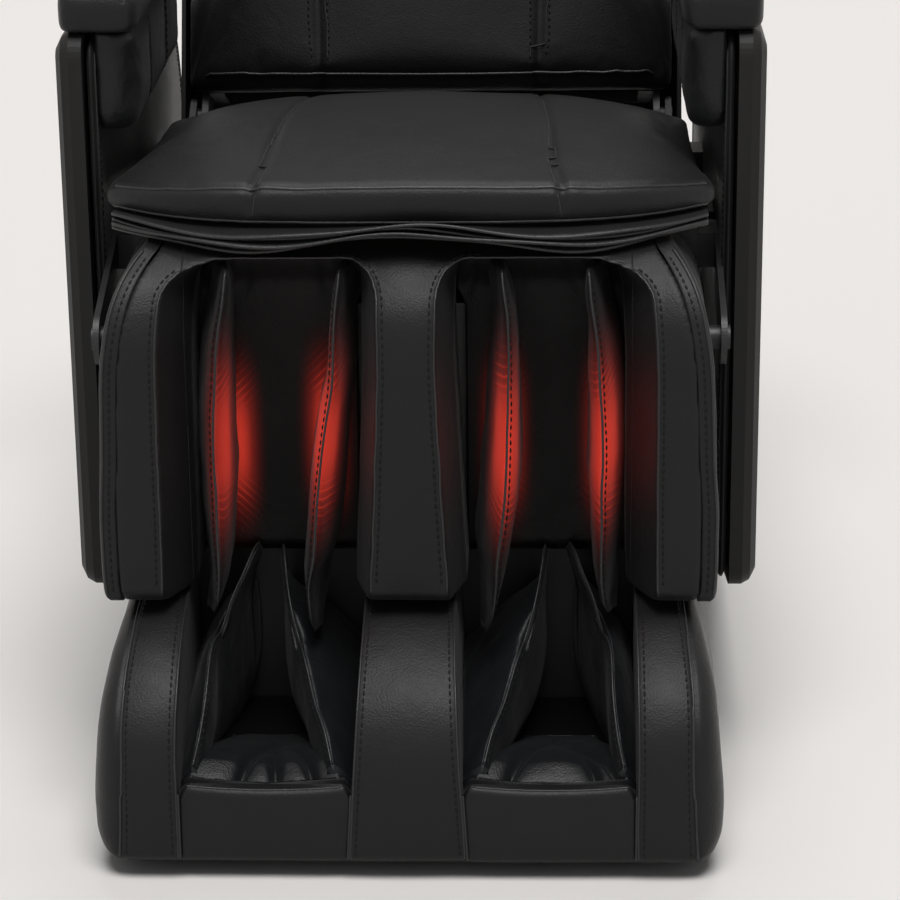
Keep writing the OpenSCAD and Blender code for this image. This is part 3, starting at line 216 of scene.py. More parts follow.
def bumped(material, heights, strength=1.0):
    """One bump from [(height socket, distance in metres), ...] laid over each other."""
    links, normal = material.node_tree.links, None
    for height, distance in heights:
        bump = node_of(material, "ShaderNodeBump", Strength=strength, Distance=distance)
        links.new(height, bump.inputs["Height"])
        if normal:
            links.new(normal, bump.inputs["Normal"])
        normal = bump.outputs["Normal"]
    links.new(normal, material.node_tree.nodes["Principled BSDF"].inputs["Normal"])


def tinted(colour, factor):
    return tuple(min(1.0, c * factor) for c in colour)


def textured(material, place, kind, **values):
    """A texture node that is read at place."""
    n = node_of(material, kind, **values)
    material.node_tree.links.new(place, n.inputs["Vector"])
    return n


def object_place(material):
    return node_of(material, "ShaderNodeTexCoord").outputs["Object"]


def scaled(material, place, scale):
    n = node_of(material, "ShaderNodeMapping")
    n.inputs["Scale"].default_value = scale
    material.node_tree.links.new(place, n.inputs["Vector"])
    return n.outputs["Vector"]


def mottled(material, source, colour, dark, light, low=0.3, high=0.7):
    """The colour times dark where the source is at low, to times light where it is at high."""
    return ramp(material, source, [(low, tinted(colour, dark)), (high, tinted(colour, light))])


def paler_edges(material, tone, colour, factor, low, high):
    """The tone, turned into the colour times factor on sharp outer edges."""
    links = material.node_tree.links
    edges = node_of(material, "ShaderNodeNewGeometry").outputs["Pointiness"]
    wear = ramp(material, edges, [(low, (0, 0, 0)), (high, (1, 1, 1))])
    mix = node_of(material, "ShaderNodeMix", data_type="RGBA")
    mix.inputs["B"].default_value = (*tinted(colour, factor), 1)
    links.new(wear, mix.inputs["Factor"])
    links.new(tone, mix.inputs["A"])
    return mix.outputs["Result"]


def glossed(material, source, rough):
    """Roughness between the two values of rough, led by the source."""
    links = material.node_tree.links
    gloss = node_of(material, "ShaderNodeMapRange")
    gloss.inputs["To Min"].default_value, gloss.inputs["To Max"].default_value = rough
    links.new(source, gloss.inputs["Value"])
    links.new(gloss.outputs["Result"], material.node_tree.nodes["Principled BSDF"].inputs["Roughness"])


def darker_below(material, tone, place, share, low, high):
    """Painted shade: the tone times share below low and as it is above high, in millimetres above the floor."""
    links = material.node_tree.links
    height = node_of(material, "ShaderNodeSeparateXYZ")
    links.new(place, height.inputs[0])
    level = node_of(material, "ShaderNodeMapRange")
    level.inputs["From Min"].default_value, level.inputs["From Max"].default_value = low / 1000, high / 1000
    links.new(height.outputs["Z"], level.inputs["Value"])
    shade = node_of(material, "ShaderNodeMix", data_type="RGBA", blend_type="MULTIPLY")
    shade.inputs["Factor"].default_value = 1.0
    links.new(tone, shade.inputs["A"])
    links.new(ramp(material, level.outputs["Result"], [(0.0, (share,) * 3), (1.0, (1, 1, 1))]), shade.inputs["B"])
    return shade.outputs["Result"]


def make_leather(name, colour, rough=(0.40, 0.54), grain=0.00018, crease=0.0005, specular=0.26, edge_wear_and_highlight=1.9, glow=None,
                 painted_shade_below=None):
    """Synthetic leather: pebbled grain, faint creases, uneven gloss, and paler ridges, partly wear and partly painted
    highlight.

    grain and crease are heights in metres; glow holds add_glow's last values, painted_shade_below those of
    darker_below.
    """
    material, shader, links = new_material(name)
    place = object_place(material)
    pebbles = textured(material, place, "ShaderNodeTexVoronoi", feature="SMOOTH_F1", Scale=620.0, Smoothness=0.35)
    fine = textured(material, place, "ShaderNodeTexNoise", Scale=1500.0, Detail=2.0)
    creases = textured(material, place, "ShaderNodeTexNoise", Scale=34.0, Detail=5.0, Roughness=0.62, Distortion=1.1)
    patches = textured(material, place, "ShaderNodeTexNoise", Scale=9.0, Detail=3.0)
    tone = mottled(material, patches.outputs["Fac"], colour, 0.86, 1.14)
    if painted_shade_below:
        tone = darker_below(material, tone, place, *painted_shade_below)
    # paler sharp edges: wear, and on the leather a painted highlight along its ridges
    surface_colour = paler_edges(material, tone, colour, edge_wear_and_highlight, 0.5, 0.62)
    glossed(material, creases.outputs["Fac"], rough)
    shader.inputs["Specular IOR Level"].default_value = specular
    shader.inputs["Sheen Weight"].default_value = 0.04
    shader.inputs["Sheen Roughness"].default_value = 0.4
    heights = [(creases.outputs["Fac"], crease), (pebbles.outputs["Distance"], grain),
               (fine.outputs["Fac"], grain / 3)]
    if glow:
        add_glow(material, shader, surface_colour, place, heights, *glow)
    else:
        links.new(surface_colour, shader.inputs["Base Color"])
    bumped(material, heights)
    return material


# The zones of painted red glow on the calf pads and on the pads behind them: their centres [x, z], where they begin to
# fade, how fast they fade towards the back, and half their width and height, in millimetres.
PAD_GLOW = (((-142.0, 331), (-66.0, 338), (77.5, 334), (161.5, 334)), 132.0, 38.0, 21.0, 76.0)
LINING_GLOW = (((-148.0, 306), (-72.0, 314), (77.0, 310), (160.5, 310)), 215.0, 60.0, 17.5, 64.0)
PAINTED_GLOW_COLOUR = (0.62, 0.035, 0.02)
RIB_TURNS = 0.82                        # radians for each millimetre
RIB_HEIGHT = 0.0012                     # metres
# painted glow: the tint puts its red into the leather's base colour, and the strength makes it shine
GLOW_STRENGTH, PAINTED_GLOW_TINT = 0.62, 0.85  # of the light, and of the red in the leather's own colour
E = 2.718


def add_glow(material, shader, leather_colour, place, heights, spots, front, reach, half_w, half_h):
    """Painted red glow: soft zones where the heating films lie, and slanting ribs at their ends that are bumped and
    glow too.
    """
    links = material.node_tree.links
    split = node_of(material, "ShaderNodeSeparateXYZ")
    links.new(place, split.inputs[0])

    def maths(operation, a, b=0.0):
        n = node_of(material, "ShaderNodeMath", operation=operation)
        for k, value in enumerate((a, b)):
            if isinstance(value, (int, float)):
                n.inputs[k].default_value = value
            else:
                links.new(value, n.inputs[k])
        return n.outputs[0]

    # the zones fade out within this reach behind the given distance from the front
    behind = maths("DIVIDE", maths("SUBTRACT", split.outputs["Y"], (front - CHAIR_L / 2) / 1000), reach / 1000)
    deep = maths("POWER", maths("MAXIMUM", behind, 0.0), 2.0)
    total, ribs = None, None
    for x, z in spots:
        across = maths("DIVIDE", maths("SUBTRACT", split.outputs["X"], x / 1000), half_w / 1000)
        along = maths("DIVIDE", maths("SUBTRACT", split.outputs["Z"], z / 1000), half_h / 1000)
        square = maths("ADD", maths("POWER", maths("ABSOLUTE", across), 2.6),
                       maths("POWER", maths("ABSOLUTE", along), 2.6))
        spot = maths("POWER", E, maths("MULTIPLY", maths("ADD", square, deep), -1.9))
        total = spot if total is None else maths("MAXIMUM", total, spot)
        # slanting ribs, at the zone's upper and lower ends only: bumps, and painted glow strokes in the emission
        run = maths("SUBTRACT", maths("MULTIPLY", maths("ABSOLUTE", along), half_h * RIB_TURNS),
                    maths("MULTIPLY", across, half_w * RIB_TURNS))
        rib = maths("POWER", maths("ADD", maths("MULTIPLY", maths("SINE", run), 0.5), 0.5), 4.0)
        ends = maths("MULTIPLY", maths("SUBTRACT", maths("ABSOLUTE", along), 0.42), 3.0)
        ends = maths("MINIMUM", maths("MAXIMUM", ends, 0.0), 1.0)
        rib = maths("MULTIPLY", maths("MULTIPLY", rib, ends), maths("MULTIPLY", spot, maths("SUBTRACT", 1.25, spot)))
        ribs = rib if ribs is None else maths("MAXIMUM", ribs, rib)
    heights.append((ribs, RIB_HEIGHT))
    colour = node_of(material, "ShaderNodeMix", data_type="RGBA")
    colour.inputs["B"].default_value = (*PAINTED_GLOW_COLOUR, 1)
    links.new(maths("MULTIPLY", total, PAINTED_GLOW_TINT), colour.inputs["Factor"])
    links.new(leather_colour, colour.inputs["A"])
    links.new(colour.outputs["Result"], shader.inputs["Base Color"])
    # the painted glow's colour, sent out as emission from the zones and the ribs
    shade = ramp(material, maths("ADD", maths("MULTIPLY", total, 0.8), maths("MULTIPLY", ribs, 0.9)),
                 [(0.0, (0, 0, 0)), (0.35, (0.12, 0.008, 0.005)), (0.8, (0.56, 0.036, 0.02)), (1.0, (0.8, 0.2, 0.19))])
    links.new(shade, shader.inputs["Emission Color"])
    shader.inputs["Emission Strength"].default_value = GLOW_STRENGTH


def make_thread(name, colour):
    material, shader, links = new_material(name)
    twist = textured(material, object_place(material), "ShaderNodeTexWave", Scale=900.0, Distortion=2.0)
    links.new(mottled(material, twist.outputs["Fac"], colour, 0.7, 1.3, 0.0, 1.0), shader.inputs["Base Color"])
    shader.inputs["Roughness"].default_value = 0.6
    shader.inputs["Specular IOR Level"].default_value = 0.3
    bumped(material, [(twist.outputs["Fac"], 0.0001)])
    return material


def make_plastic(name, colour, rough=(0.38, 0.5), texture=0.00008, scale=1100.0, specular=0.4):
    """Moulded plastic: fine spark-eroded texture, faint flow marks, and scuffed edges."""
    material, shader, links = new_material(name)
    place = object_place(material)
    sparks = textured(material, place, "ShaderNodeTexNoise", Scale=scale, Detail=3.0)
    flow = textured(material, place, "ShaderNodeTexNoise", Scale=6.0, Detail=2.0, Distortion=0.6)
    tone = mottled(material, flow.outputs["Fac"], colour, 0.93, 1.07)
    links.new(paler_edges(material, tone, colour, 1.6, 0.52, 0.6), shader.inputs["Base Color"])
    glossed(material, flow.outputs["Fac"], rough)
    shader.inputs["Specular IOR Level"].default_value = specular
    bumped(material, [(sparks.outputs["Fac"], texture)])
    return material


def make_metal(name, colour, rough=(0.2, 0.34), stretch=(1, 1, 30)):
    """Ground metal: fine drawn lines, cloudy gloss, and dull spots."""
    material, shader, links = new_material(name)
    place = object_place(material)
    lines = textured(material, scaled(material, place, stretch), "ShaderNodeTexNoise", Scale=300.0, Detail=4.0)
    clouds = textured(material, place, "ShaderNodeTexNoise", Scale=18.0, Detail=4.0)
    links.new(mottled(material, clouds.outputs["Fac"], colour, 0.85, 1.08), shader.inputs["Base Color"])
    glossed(material, clouds.outputs["Fac"], rough)
    shader.inputs["Metallic"].default_value = 1.0
    bumped(material, [(lines.outputs["Fac"], 0.00004)])
    return material


def make_powder(name, colour):
    """Powder-coated steel: orange-peel skin and dusty patches."""
    material, shader, links = new_material(name)
    place = object_place(material)
    peel = textured(material, place, "ShaderNodeTexNoise", Scale=420.0, Detail=2.0)
    dust = textured(material, place, "ShaderNodeTexNoise", Scale=22.0, Detail=5.0)
    links.new(mottled(material, dust.outputs["Fac"], colour, 0.85, 1.5, 0.35, 0.75), shader.inputs["Base Color"])
    glossed(material, dust.outputs["Fac"], (0.36, 0.6))
    bumped(material, [(peel.outputs["Fac"], 0.00025)])
    return material


def make_wood(name, colour):
    """Plywood: long grain across the board and thin dark plies at its edges."""
    material, shader, links = new_material(name)
    place = object_place(material)
    along = scaled(material, place, (2.5, 40, 40))
    grain = textured(material, along, "ShaderNodeTexNoise", Scale=3.0, Detail=8.0, Distortion=0.8)
    plies = textured(material, place, "ShaderNodeTexWave", bands_direction="Z", Scale=260.0, Distortion=0.6)
    wood = ramp(material, grain.outputs["Fac"],
                [(0.3, tinted(colour, 0.55)), (0.5, colour), (0.72, tinted(colour, 1.25))])
    layers = node_of(material, "ShaderNodeMix", data_type="RGBA", blend_type="MULTIPLY")
    layers.inputs["Factor"].default_value = 0.35
    links.new(wood, layers.inputs["A"])
    links.new(ramp(material, plies.outputs["Fac"], [(0.2, (0.45, 0.4, 0.35)), (0.6, (1, 1, 1))]), layers.inputs["B"])
    links.new(layers.outputs["Result"], shader.inputs["Base Color"])
    shader.inputs["Roughness"].default_value = 0.62
    bumped(material, [(grain.outputs["Fac"], 0.0002)])
    return material


leather = make_leather("leather", (0.0058, 0.0057, 0.0063))
leather_flap = make_leather("leather_flap", (0.0062, 0.007, 0.008), rough=(0.36, 0.5), crease=0.0009)
# near black: painted shade deep in the foot wells
leather_sole_painted_shade = make_leather("leather_sole_painted_shade", (0.0018, 0.0018, 0.002), rough=(0.5, 0.65), specular=0.07)
# leather with zones of painted red glow, shining as emission
leather_painted_glow = make_leather("leather_painted_glow", (0.0062, 0.0065, 0.0072), rough=(0.38, 0.52), glow=PAD_GLOW)
# the lining: painted shade darkens it below 395 mm, and painted red glow lies on it
leather_lining = make_leather("leather_lining", (0.014, 0.014, 0.0143), crease=0.0009, specular=0.16,
                              painted_shade_below=(0.12, 395, 462), glow=LINING_GLOW)
leather_panel = make_leather("leather_panel", (0.006, 0.006, 0.006), rough=(0.5, 0.6), grain=0.0001, specular=0.22)
# piping paler than the leather: a painted highlight along the seams, and on the seat's hems
piping_painted_highlight = make_leather("piping_painted_highlight", (0.0165, 0.0165, 0.0172), rough=(0.3, 0.42), specular=0.36, edge_wear_and_highlight=1.5, crease=0.0002)
thread = make_thread("thread", (0.0008, 0.0008, 0.0009))
shell_plastic = make_plastic("shell_plastic", (0.0085, 0.0083, 0.0082), rough=(0.46, 0.56), specular=0.22)
bright_metal = make_metal("bright_metal", (0.56, 0.57, 0.58))


# ---------------------------------------------------------------- mesh helpers
def noise(points, size, seed=0):
    """Smooth noise from -1 to 1 at the points, in lumps of about size millimetres, which may differ by axis."""
    q = np.asarray(points, float) / np.asarray(size, float)
    cell = np.floor(q).astype(np.int64)
    f = q - cell
    f = f * f * (3 - 2 * f)
    total = 0.0
    for corner in range(8):
        step = np.array([corner & 1, corner >> 1 & 1, corner >> 2])
        c = cell + step
        h = (c[..., 0] * 374761393 + c[..., 1] * 668265263 + c[..., 2] * 1274126177 + seed * 69069) & 0xFFFFFFFF
        h = ((h ^ (h >> 13)) * 1274126177) & 0xFFFFFFFF
        value = ((h ^ (h >> 16)) & 0xFFFF) / 32767.5 - 1
        weight = np.prod(np.where(step == 1, f, 1 - f), axis=-1)
        total = total + weight * value
    return total


def bump(x, width):
    return np.exp(-(np.asarray(x, float) / width) ** 2)


def table(rows, keys):
    """Rows of [key, value, ...] at any keys, by monotone cubic interpolation."""
    rows = np.array(rows, float)
    x, y = rows[:, 0], rows[:, 1:]
    h = np.diff(x)
    slopes = np.diff(y, axis=0) / h[:, None]
    d = np.zeros_like(y)
    d[0], d[-1] = slopes[0], slopes[-1]
    w1, w2 = (2 * h[1:] + h[:-1])[:, None], (h[1:] + 2 * h[:-1])[:, None]
    a, b = slopes[:-1], slopes[1:]
    same = a * b > 0
    d[1:-1] = np.where(same, (w1 + w2) / (w1 / np.where(same, a, 1) + w2 / np.where(same, b, 1)), 0)
    keys = np.atleast_1d(np.asarray(keys, float))
    k = np.clip(np.searchsorted(x, keys, side="right") - 1, 0, len(h) - 1)
    t = np.clip((keys - x[k]) / h[k], 0, 1)[:, None]
    hk = h[k][:, None]
    return ((2 * t**3 - 3 * t**2 + 1) * y[k] + (t**3 - 2 * t**2 + t) * hk * d[k]
            + (3 * t**2 - 2 * t**3) * y[k + 1] + (t**3 - t**2) * hk * d[k + 1])


def spline(points, count, closed=False):
    """count points on a smooth curve through the points (centripetal spacing along its length)."""
    p = np.array(points, float)
    if closed:
        p = np.vstack([p[-2:], p, p[:3]])
    else:
        p = np.vstack([2 * p[0] - p[1], p, 2 * p[-1] - p[-2]])
    out = []
    first, last = (2, len(p) - 3) if closed else (1, len(p) - 2)
    for i in range(first, last):
        a, b, c, d = p[i - 1], p[i], p[i + 1], p[i + 2]
        for t in np.linspace(0, 1, 24, endpoint=False):
            out.append(0.5 * (2 * b + (c - a) * t + (2 * a - 5 * b + 4 * c - d) * t**2
                              + (3 * b - 3 * c + d - a) * t**3))
    out.append(p[last])
    return evenly(np.array(out), count)[:-1] if closed else evenly(np.array(out), count)


def evenly(path, count):
    path = np.array(path, float)
    run = np.concatenate([[0], np.cumsum(np.linalg.norm(np.diff(path, axis=0), axis=1))])
    return np.stack([np.interp(np.linspace(0, run[-1], count), run, path[:, k]) for k in range(3)], axis=1)


def length_of(path):
    return float(np.linalg.norm(np.diff(np.asarray(path), axis=0), axis=1).sum())


def rounding(distance, radius):
    """How far an edge rounded with the radius falls back at a distance from its end."""
    return radius - math.sqrt(max(0, radius**2 - max(0, radius - distance) ** 2))


def level_ring(outline, z, side=1):
    """A ring at a height z from an outline of [x, y]; side -1 mirrors it."""
    return np.column_stack([side * outline[:, 0], outline[:, 1], np.full(len(outline), z)])


def across_y(outline, y):
    """A ring at y from an outline of [x, z]."""
    return np.column_stack([outline[:, 0], np.full(len(outline), y), outline[:, 1]])


def box(x0, y0, x1, y1):
    return [(x0, y0), (x1, y0), (x1, y1), (x0, y1)]


def line_at(count, *coordinates):
    """count points from coordinates that are numbers or arrays."""
    return np.column_stack([np.broadcast_to(c, count) for c in coordinates])


def rounded_outline(points, radii, steps=6):
    """A closed 2-D outline with its corners rounded; radii is one number or one for each corner."""
    p = np.array(points, float)
    n = len(p)
    radii = np.broadcast_to(radii, n)
    out = []
    for i in range(n):
        a, b, c = p[i - 1], p[i], p[(i + 1) % n]
        u, w = (a - b) / np.linalg.norm(a - b), (c - b) / np.linalg.norm(c - b)
        half = math.acos(max(-1, min(1, float(u @ w)))) / 2
        reach = min(radii[i] / max(math.tan(half), 1e-9), 0.49 * np.linalg.norm(a - b), 0.49 * np.linalg.norm(c - b))
        start, end = b + u * reach, b + w * reach
        for t in np.linspace(0, 1, steps + 1):
            out.append((1 - t) ** 2 * start + 2 * t * (1 - t) * b + t**2 * end)
    return np.array(out)


class Form:
    """A mesh that is put together from rings, tubes and stitches, in the source's millimetres."""

    def __init__(self):
        self.points, self.faces, self.slots, self.count = [], [], [], 0

    def add(self, points, faces, slot=0):
        self.points.append(np.array(points, float))
        self.faces += [tuple(i + self.count for i in f) for f in faces]
        self.slots += [slot] * len(faces)
        self.count += len(points)

    def rings(self, rings, slot=0, caps=True):
        """One closed skin through a stack of rings with equally many points."""
        rings = np.array(rings, float)
        m, n = rings.shape[:2]
        faces = [(k * n + i, k * n + (i + 1) % n, (k + 1) * n + (i + 1) % n, (k + 1) * n + i)
                 for k in range(m - 1) for i in range(n)]
        points = rings.reshape(-1, 3)
        if caps:
            points = np.vstack([points, rings[0].mean(axis=0), rings[-1].mean(axis=0)])
            faces += [(m * n, (i + 1) % n, i) for i in range(n)]
            faces += [(m * n + 1, (m - 1) * n + i, (m - 1) * n + (i + 1) % n) for i in range(n)]
        self.add(points, faces, slot)

    def tube(self, path, radius, slot=0, sides=8, taper=True):
        """A round bead along a path, with tapered ends."""
        p = np.array(path, float)
        p = p[np.append(True, np.linalg.norm(np.diff(p, axis=0), axis=1) > 1e-6)]
        if len(p) < 3:
            return
        along = np.gradient(p, axis=0)
        along /= np.linalg.norm(along, axis=1)[:, None]
        side = np.cross(along[0], (0.31, 0.2, 0.93))
        rings = []
        turn = np.linspace(0, 2 * math.pi, sides, endpoint=False)
        for k, (point, t) in enumerate(zip(p, along)):
            side = side - t * (side @ t)
            side /= np.linalg.norm(side)
            other = np.cross(t, side)
            r = radius * (0.25 if taper and k in (0, len(p) - 1) else 1)
            rings.append(point + r * (np.cos(turn)[:, None] * side + np.sin(turn)[:, None] * other))
        self.rings(rings, slot)

    def stitches(self, path, slot, pitch=6.4, length=4.7, radius=0.95):
        """Short raised threads along a path, dipping into the leather at both ends."""
        total = length_of(path)
        count = max(2, int(total / pitch))
        fine = evenly(path, count * 16 + 1)
        across = int(round(16 * length / pitch))
        for k in range(count):
            piece = fine[k * 16:k * 16 + across + 1:max(1, across // 3)]
            if len(piece) > 2:
                self.tube(piece, radius, slot, sides=6)

    def make(self, name, *materials):
        mesh = bpy.data.meshes.new(name)
        mesh.from_pydata(to_scene(np.vstack(self.points)).tolist(), [], self.faces)
        mesh.polygons.foreach_set("material_index", self.slots)
        bm = bmesh.new()
        bm.from_mesh(mesh)
        bmesh.ops.recalc_face_normals(bm, faces=bm.faces)
        bm.to_mesh(mesh)
        bm.free()
        mesh.polygons.foreach_set("use_smooth", [True] * len(mesh.polygons))
        for material in materials:
            mesh.materials.append(material)
        piece = bpy.data.objects.new(name, mesh)
        bpy.context.collection.objects.link(piece)
        return piece


def coordinates(piece):
    """The piece's points in the source's millimetres, and its normals."""
    n = len(piece.data.vertices)
    points, normals = np.empty(n * 3), np.empty(n * 3)
    piece.data.vertices.foreach_get("co", points)
    piece.data.vertices.foreach_get("normal", normals)
    points = points.reshape(-1, 3) * 1000
    points[:, 1] += CHAIR_L / 2
    return points, normals.reshape(-1, 3)


def set_coordinates(piece, points):
    piece.data.vertices.foreach_set("co", to_scene(points).ravel())
    piece.data.update()


def swell(piece, height):
    """Moves each point along its normal by height(points), in millimetres."""
    points, normals = coordinates(piece)
    set_coordinates(piece, points + normals * np.asarray(height(points))[:, None])
    return piece


def surface_of(*pieces):
    """A search tree of the pieces' surfaces, in the source's millimetres."""
    points, faces = [], []
    for piece in pieces:
        p, _ = coordinates(piece)
        faces += [tuple(i + len(points) for i in f.vertices) for f in piece.data.polygons]
        points += [Vector(q) for q in p]
    return BVHTree.FromPolygons(points, faces)


def laid_on(surface, path, lift=0.25):
    """The path moved onto the surface, lift above it."""
    out = []
    for q in path:
        place, normal, _, _ = surface.find_nearest(Vector(q))
        out.append(place + normal * lift)
    return np.array([tuple(q) for q in out])


class Trim(Form):
    """Piping (slot 0) and stitches (slot 1) that are laid on pieces."""

    def __init__(self, *pieces):
        super().__init__()
        self.surface = surface_of(*pieces)

    def bead(self, path, radius, count=None, lift=0.1):
        path = path if count is None else evenly(path, count)
        self.tube(laid_on(self.surface, path, lift), radius)

    def row(self, path, count=None, lift=0.1, **sizes):
        path = path if count is None else evenly(path, count)
        self.stitches(laid_on(self.surface, path, lift), 1, **sizes)

    def sewn_to(self, piece):
        return joined(piece.name, [piece, self.make("trim", piping_painted_highlight, thread)])


def joined(name, pieces):
    """One object from several, which keeps their materials."""
    bpy.ops.object.select_all(action="DESELECT")
    for piece in pieces:
        piece.select_set(True)
    bpy.context.view_layer.objects.active = pieces[0]
    bpy.ops.object.join()
    pieces[0].name = pieces[0].data.name = name
    return pieces[0]


def applied(piece):
    """The piece with its modifiers made part of its mesh."""
    bpy.context.view_layer.update()
    made = bpy.data.meshes.new_from_object(piece.evaluated_get(bpy.context.evaluated_depsgraph_get()))
    piece.modifiers.clear()
    piece.data = made
    made.polygons.foreach_set("use_smooth", [True] * len(made.polygons))
    return piece


def cut_away(piece, cutter):
    modifier = piece.modifiers.new("cut", "BOOLEAN")
    modifier.object, modifier.solver = cutter, "EXACT"
    applied(piece)
    bpy.data.objects.remove(cutter)


def finer(piece):
    piece.modifiers.new("finer", "SUBSURF").levels = 1
    applied(piece)


def remeshed(piece, size, smooth=0, factor=0.5):
    modifier = piece.modifiers.new("remesh", "REMESH")
    modifier.mode, modifier.voxel_size = "VOXEL", size / 1000
    if smooth:
        modifier = piece.modifiers.new("smooth", "SMOOTH")
        modifier.iterations, modifier.factor = smooth, factor
    return applied(piece)


def part_of(piece, name, cuts):
    """A copy of the piece on the inner side of each plane [point, outward normal], closed where it is cut."""
    copy = bpy.data.objects.new(name, piece.data.copy())
    bpy.context.collection.objects.link(copy)
    bm = bmesh.new()
    bm.from_mesh(copy.data)
    for point, normal in cuts:
        place = to_scene(point)
        result = bmesh.ops.bisect_plane(bm, geom=bm.verts[:] + bm.edges[:] + bm.faces[:], plane_co=place,
                                        plane_no=normal, clear_outer=True)
        edges = [e for e in result["geom_cut"] if isinstance(e, bmesh.types.BMEdge)]
        bmesh.ops.holes_fill(bm, edges=edges)
    bm.to_mesh(copy.data)
    bm.free()
    return copy


def finish_piece(piece, body, *nodes, slot="leather", fill=None, material=None):
    """Puts a finished piece on its body in place of its CAD nodes."""
    if material:
        piece.data.materials.clear()
        piece.data.materials.append(material)
    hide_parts(*nodes)
    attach(piece, body)
    return piece


# ---------------------------------------------------------------- calf section
def calf_half(z):
    rows = [[0, 4], [0.04, 1], [0.12, 0], [0.24, 0], [0.43, 3], [0.68, 6], [0.77, 9], [0.84, 13], [0.91, 20],
            [0.96, 29], [1, 40]]
    return HALF_LEG - table(rows, (np.asarray(z, float) - CALF_Z) / (CALF_TOP - CALF_Z))[:, 0]


def calf_depth(z):
    z = np.asarray(z, float)
    return np.where(z <= PIVOT_Z, ROUND_R, np.sqrt(np.maximum(0, ROUND_R**2 - (z - PIVOT_Z) ** 2)))


def calf_front(z):
    return PIVOT_Y - calf_depth(z)


def calf_rear(z, limit):
    return np.minimum(limit, PIVOT_Y + calf_depth(z))


def up_front(s):
    """[y, z] at a distance s up the section's front, measured along its surface from its lower end."""
    s = np.asarray(s, float)
    straight = PIVOT_Z - CALF_Z
    turn = np.maximum(0, s - straight) / ROUND_R
    return np.stack([PIVOT_Y - ROUND_R * np.cos(turn), np.where(s < straight, CALF_Z + s,
                                                                PIVOT_Z + ROUND_R * np.sin(turn))], axis=-1)


SEAM_X = 238.4                          # between the bolsters and the side pads
SPLIT_X = 181.0                         # where the calf front is parted into bolsters and centre
ARCH_S = PIVOT_Z - CALF_Z + ROUND_R * math.radians(65.5)   # top of the wells' openings, up the front
ARCH_CORNER = 48.0
WELL_SLANT_OUT, WELL_SLANT_IN, WELL_SLANT_D = 24.0, 14.0, 51.0
# [up the front, outer wall, inner wall] of a well's opening
WELL_WALLS = [[-30, 202, 33], [12, 201.5, 32], [77, 200.5, 28.5], [124, 200.5, 26.5], [155, 200.5, 25],
              [200, 200, 23.5], [253, 197, 24], [285, 193, 27], [300, 190, 30]]
WELL_TOP = (132.0, 54.0)                # where the opening's top is straight


def well_outline(depth, outside=0.0):
    """[x, up the front] round a well's opening, from its outer foot over its top to its inner foot."""
    share = min(1, max(0, depth / WELL_SLANT_D))
    low = np.linspace(-28, ARCH_S - ARCH_CORNER, 26)
    walls = table(WELL_WALLS, low)
    outer = walls[:, 0] + outside - WELL_SLANT_OUT * share
    inner = walls[:, 1] - outside + WELL_SLANT_IN * share
    top = ARCH_S + outside
    turn = np.linspace(0, math.pi / 2, 12)[1:]
    outer_top, inner_top = WELL_TOP[0] - 8 * share, WELL_TOP[1] + 6 * share
    corner = [[outer_top + (outer[-1] - outer_top) * math.cos(t), low[-1] + (top - low[-1]) * math.sin(t)]
              for t in turn]
    across = [[x, top] for x in np.linspace(outer_top, inner_top, 14)[1:-1]]
    other = [[inner_top - (inner_top - inner[-1]) * math.cos(t), low[-1] + (top - low[-1]) * math.sin(t)]
             for t in turn[::-1]]
    return np.array(list(zip(outer, low)) + corner + across + other + list(zip(inner[::-1], low[::-1])))


def on_front(outline, depth=0.0):
    yz = up_front(outline[:, 1])
    return np.stack([outline[:, 0], yz[:, 0] + depth, yz[:, 1]], axis=1)


def calf_block():
    """The calf section's upholstered front, with its two arched wells cut out."""
    foot = [(CALF_FRONT + 9 - 9 * math.sin(t), CALF_Z + 9 - 9 * math.cos(t))
            for t in np.linspace(0, math.pi / 2, 5)]
    end = 180 - math.degrees(math.acos((BOARD_Y - PIVOT_Y) / ROUND_R))
    arc = [(PIVOT_Y - ROUND_R * math.cos(math.radians(t)), PIVOT_Z + ROUND_R * math.sin(math.radians(t)))
           for t in np.linspace(0, end, 48)]
    straight = [(CALF_FRONT, z) for z in np.linspace(CALF_Z + 20, PIVOT_Z - 5, 20)]
    profile = np.array(foot + straight + arc + [(BOARD_Y, 440), (BOARD_Y, 300), (BOARD_Y, CALF_Z)])
    half = np.minimum(SEAM_X - 0.3, calf_half(profile[:, 1]) - 12.8)
    rings = []
    for side, insets in ((-1, ((0, 0.9), (0.9, 0))), (1, ((0.9, 0), (0, 0.9)))):
        for back, inset in insets:
            y = profile[:, 0] + np.where(profile[:, 0] < 190, inset * 0.8, 0)
            z = profile[:, 1] - np.where(profile[:, 1] > 440, inset * 0.8, 0)
            rings.append(np.stack([side * (half - back), y, z], axis=1))
        if side < 0:
            for u in np.linspace(-0.97, 0.97, 40):
                rings.append(np.stack([u * half, profile[:, 0], profile[:, 1]], axis=1))
    block = Form()
    block.rings(rings)
    block = block.make("calf_front")
    for side in (1, -1):
        cutter = Form()
        cutter.rings([on_front(well_outline(d), d) * (side, 1, 1) for d in (-40, 0, 17, 34, 51, 200)])
        cut_away(block, cutter.make("well"))
    return remeshed(block, 2.4, smooth=5)


def calf_crown(points):
    x, y, z = np.abs(points[:, 0]), points[:, 1], points[:, 2]
    front = np.clip((calf_front(z) + 14 - y) / 14, 0, 1) * np.clip((z - CALF_Z - 2) / 30, 0, 1)
    outer = np.clip(1 - ((x - 228) / 23) ** 2, 0, 1)
    middle = np.clip(1 - (x / 24) ** 2, 0, 1)
    slack = noise(points, (60, 60, 26), 3) * 0.5 + noise(points, (24, 24, 12), 5) * 0.22
    pull = np.clip(noise(points, (200, 200, 9), 9), 0, 1) * bump(x - 204, 10) * 0.5
    return front * (1.5 * outer + 1.9 * middle) + slack * 0.75 - pull


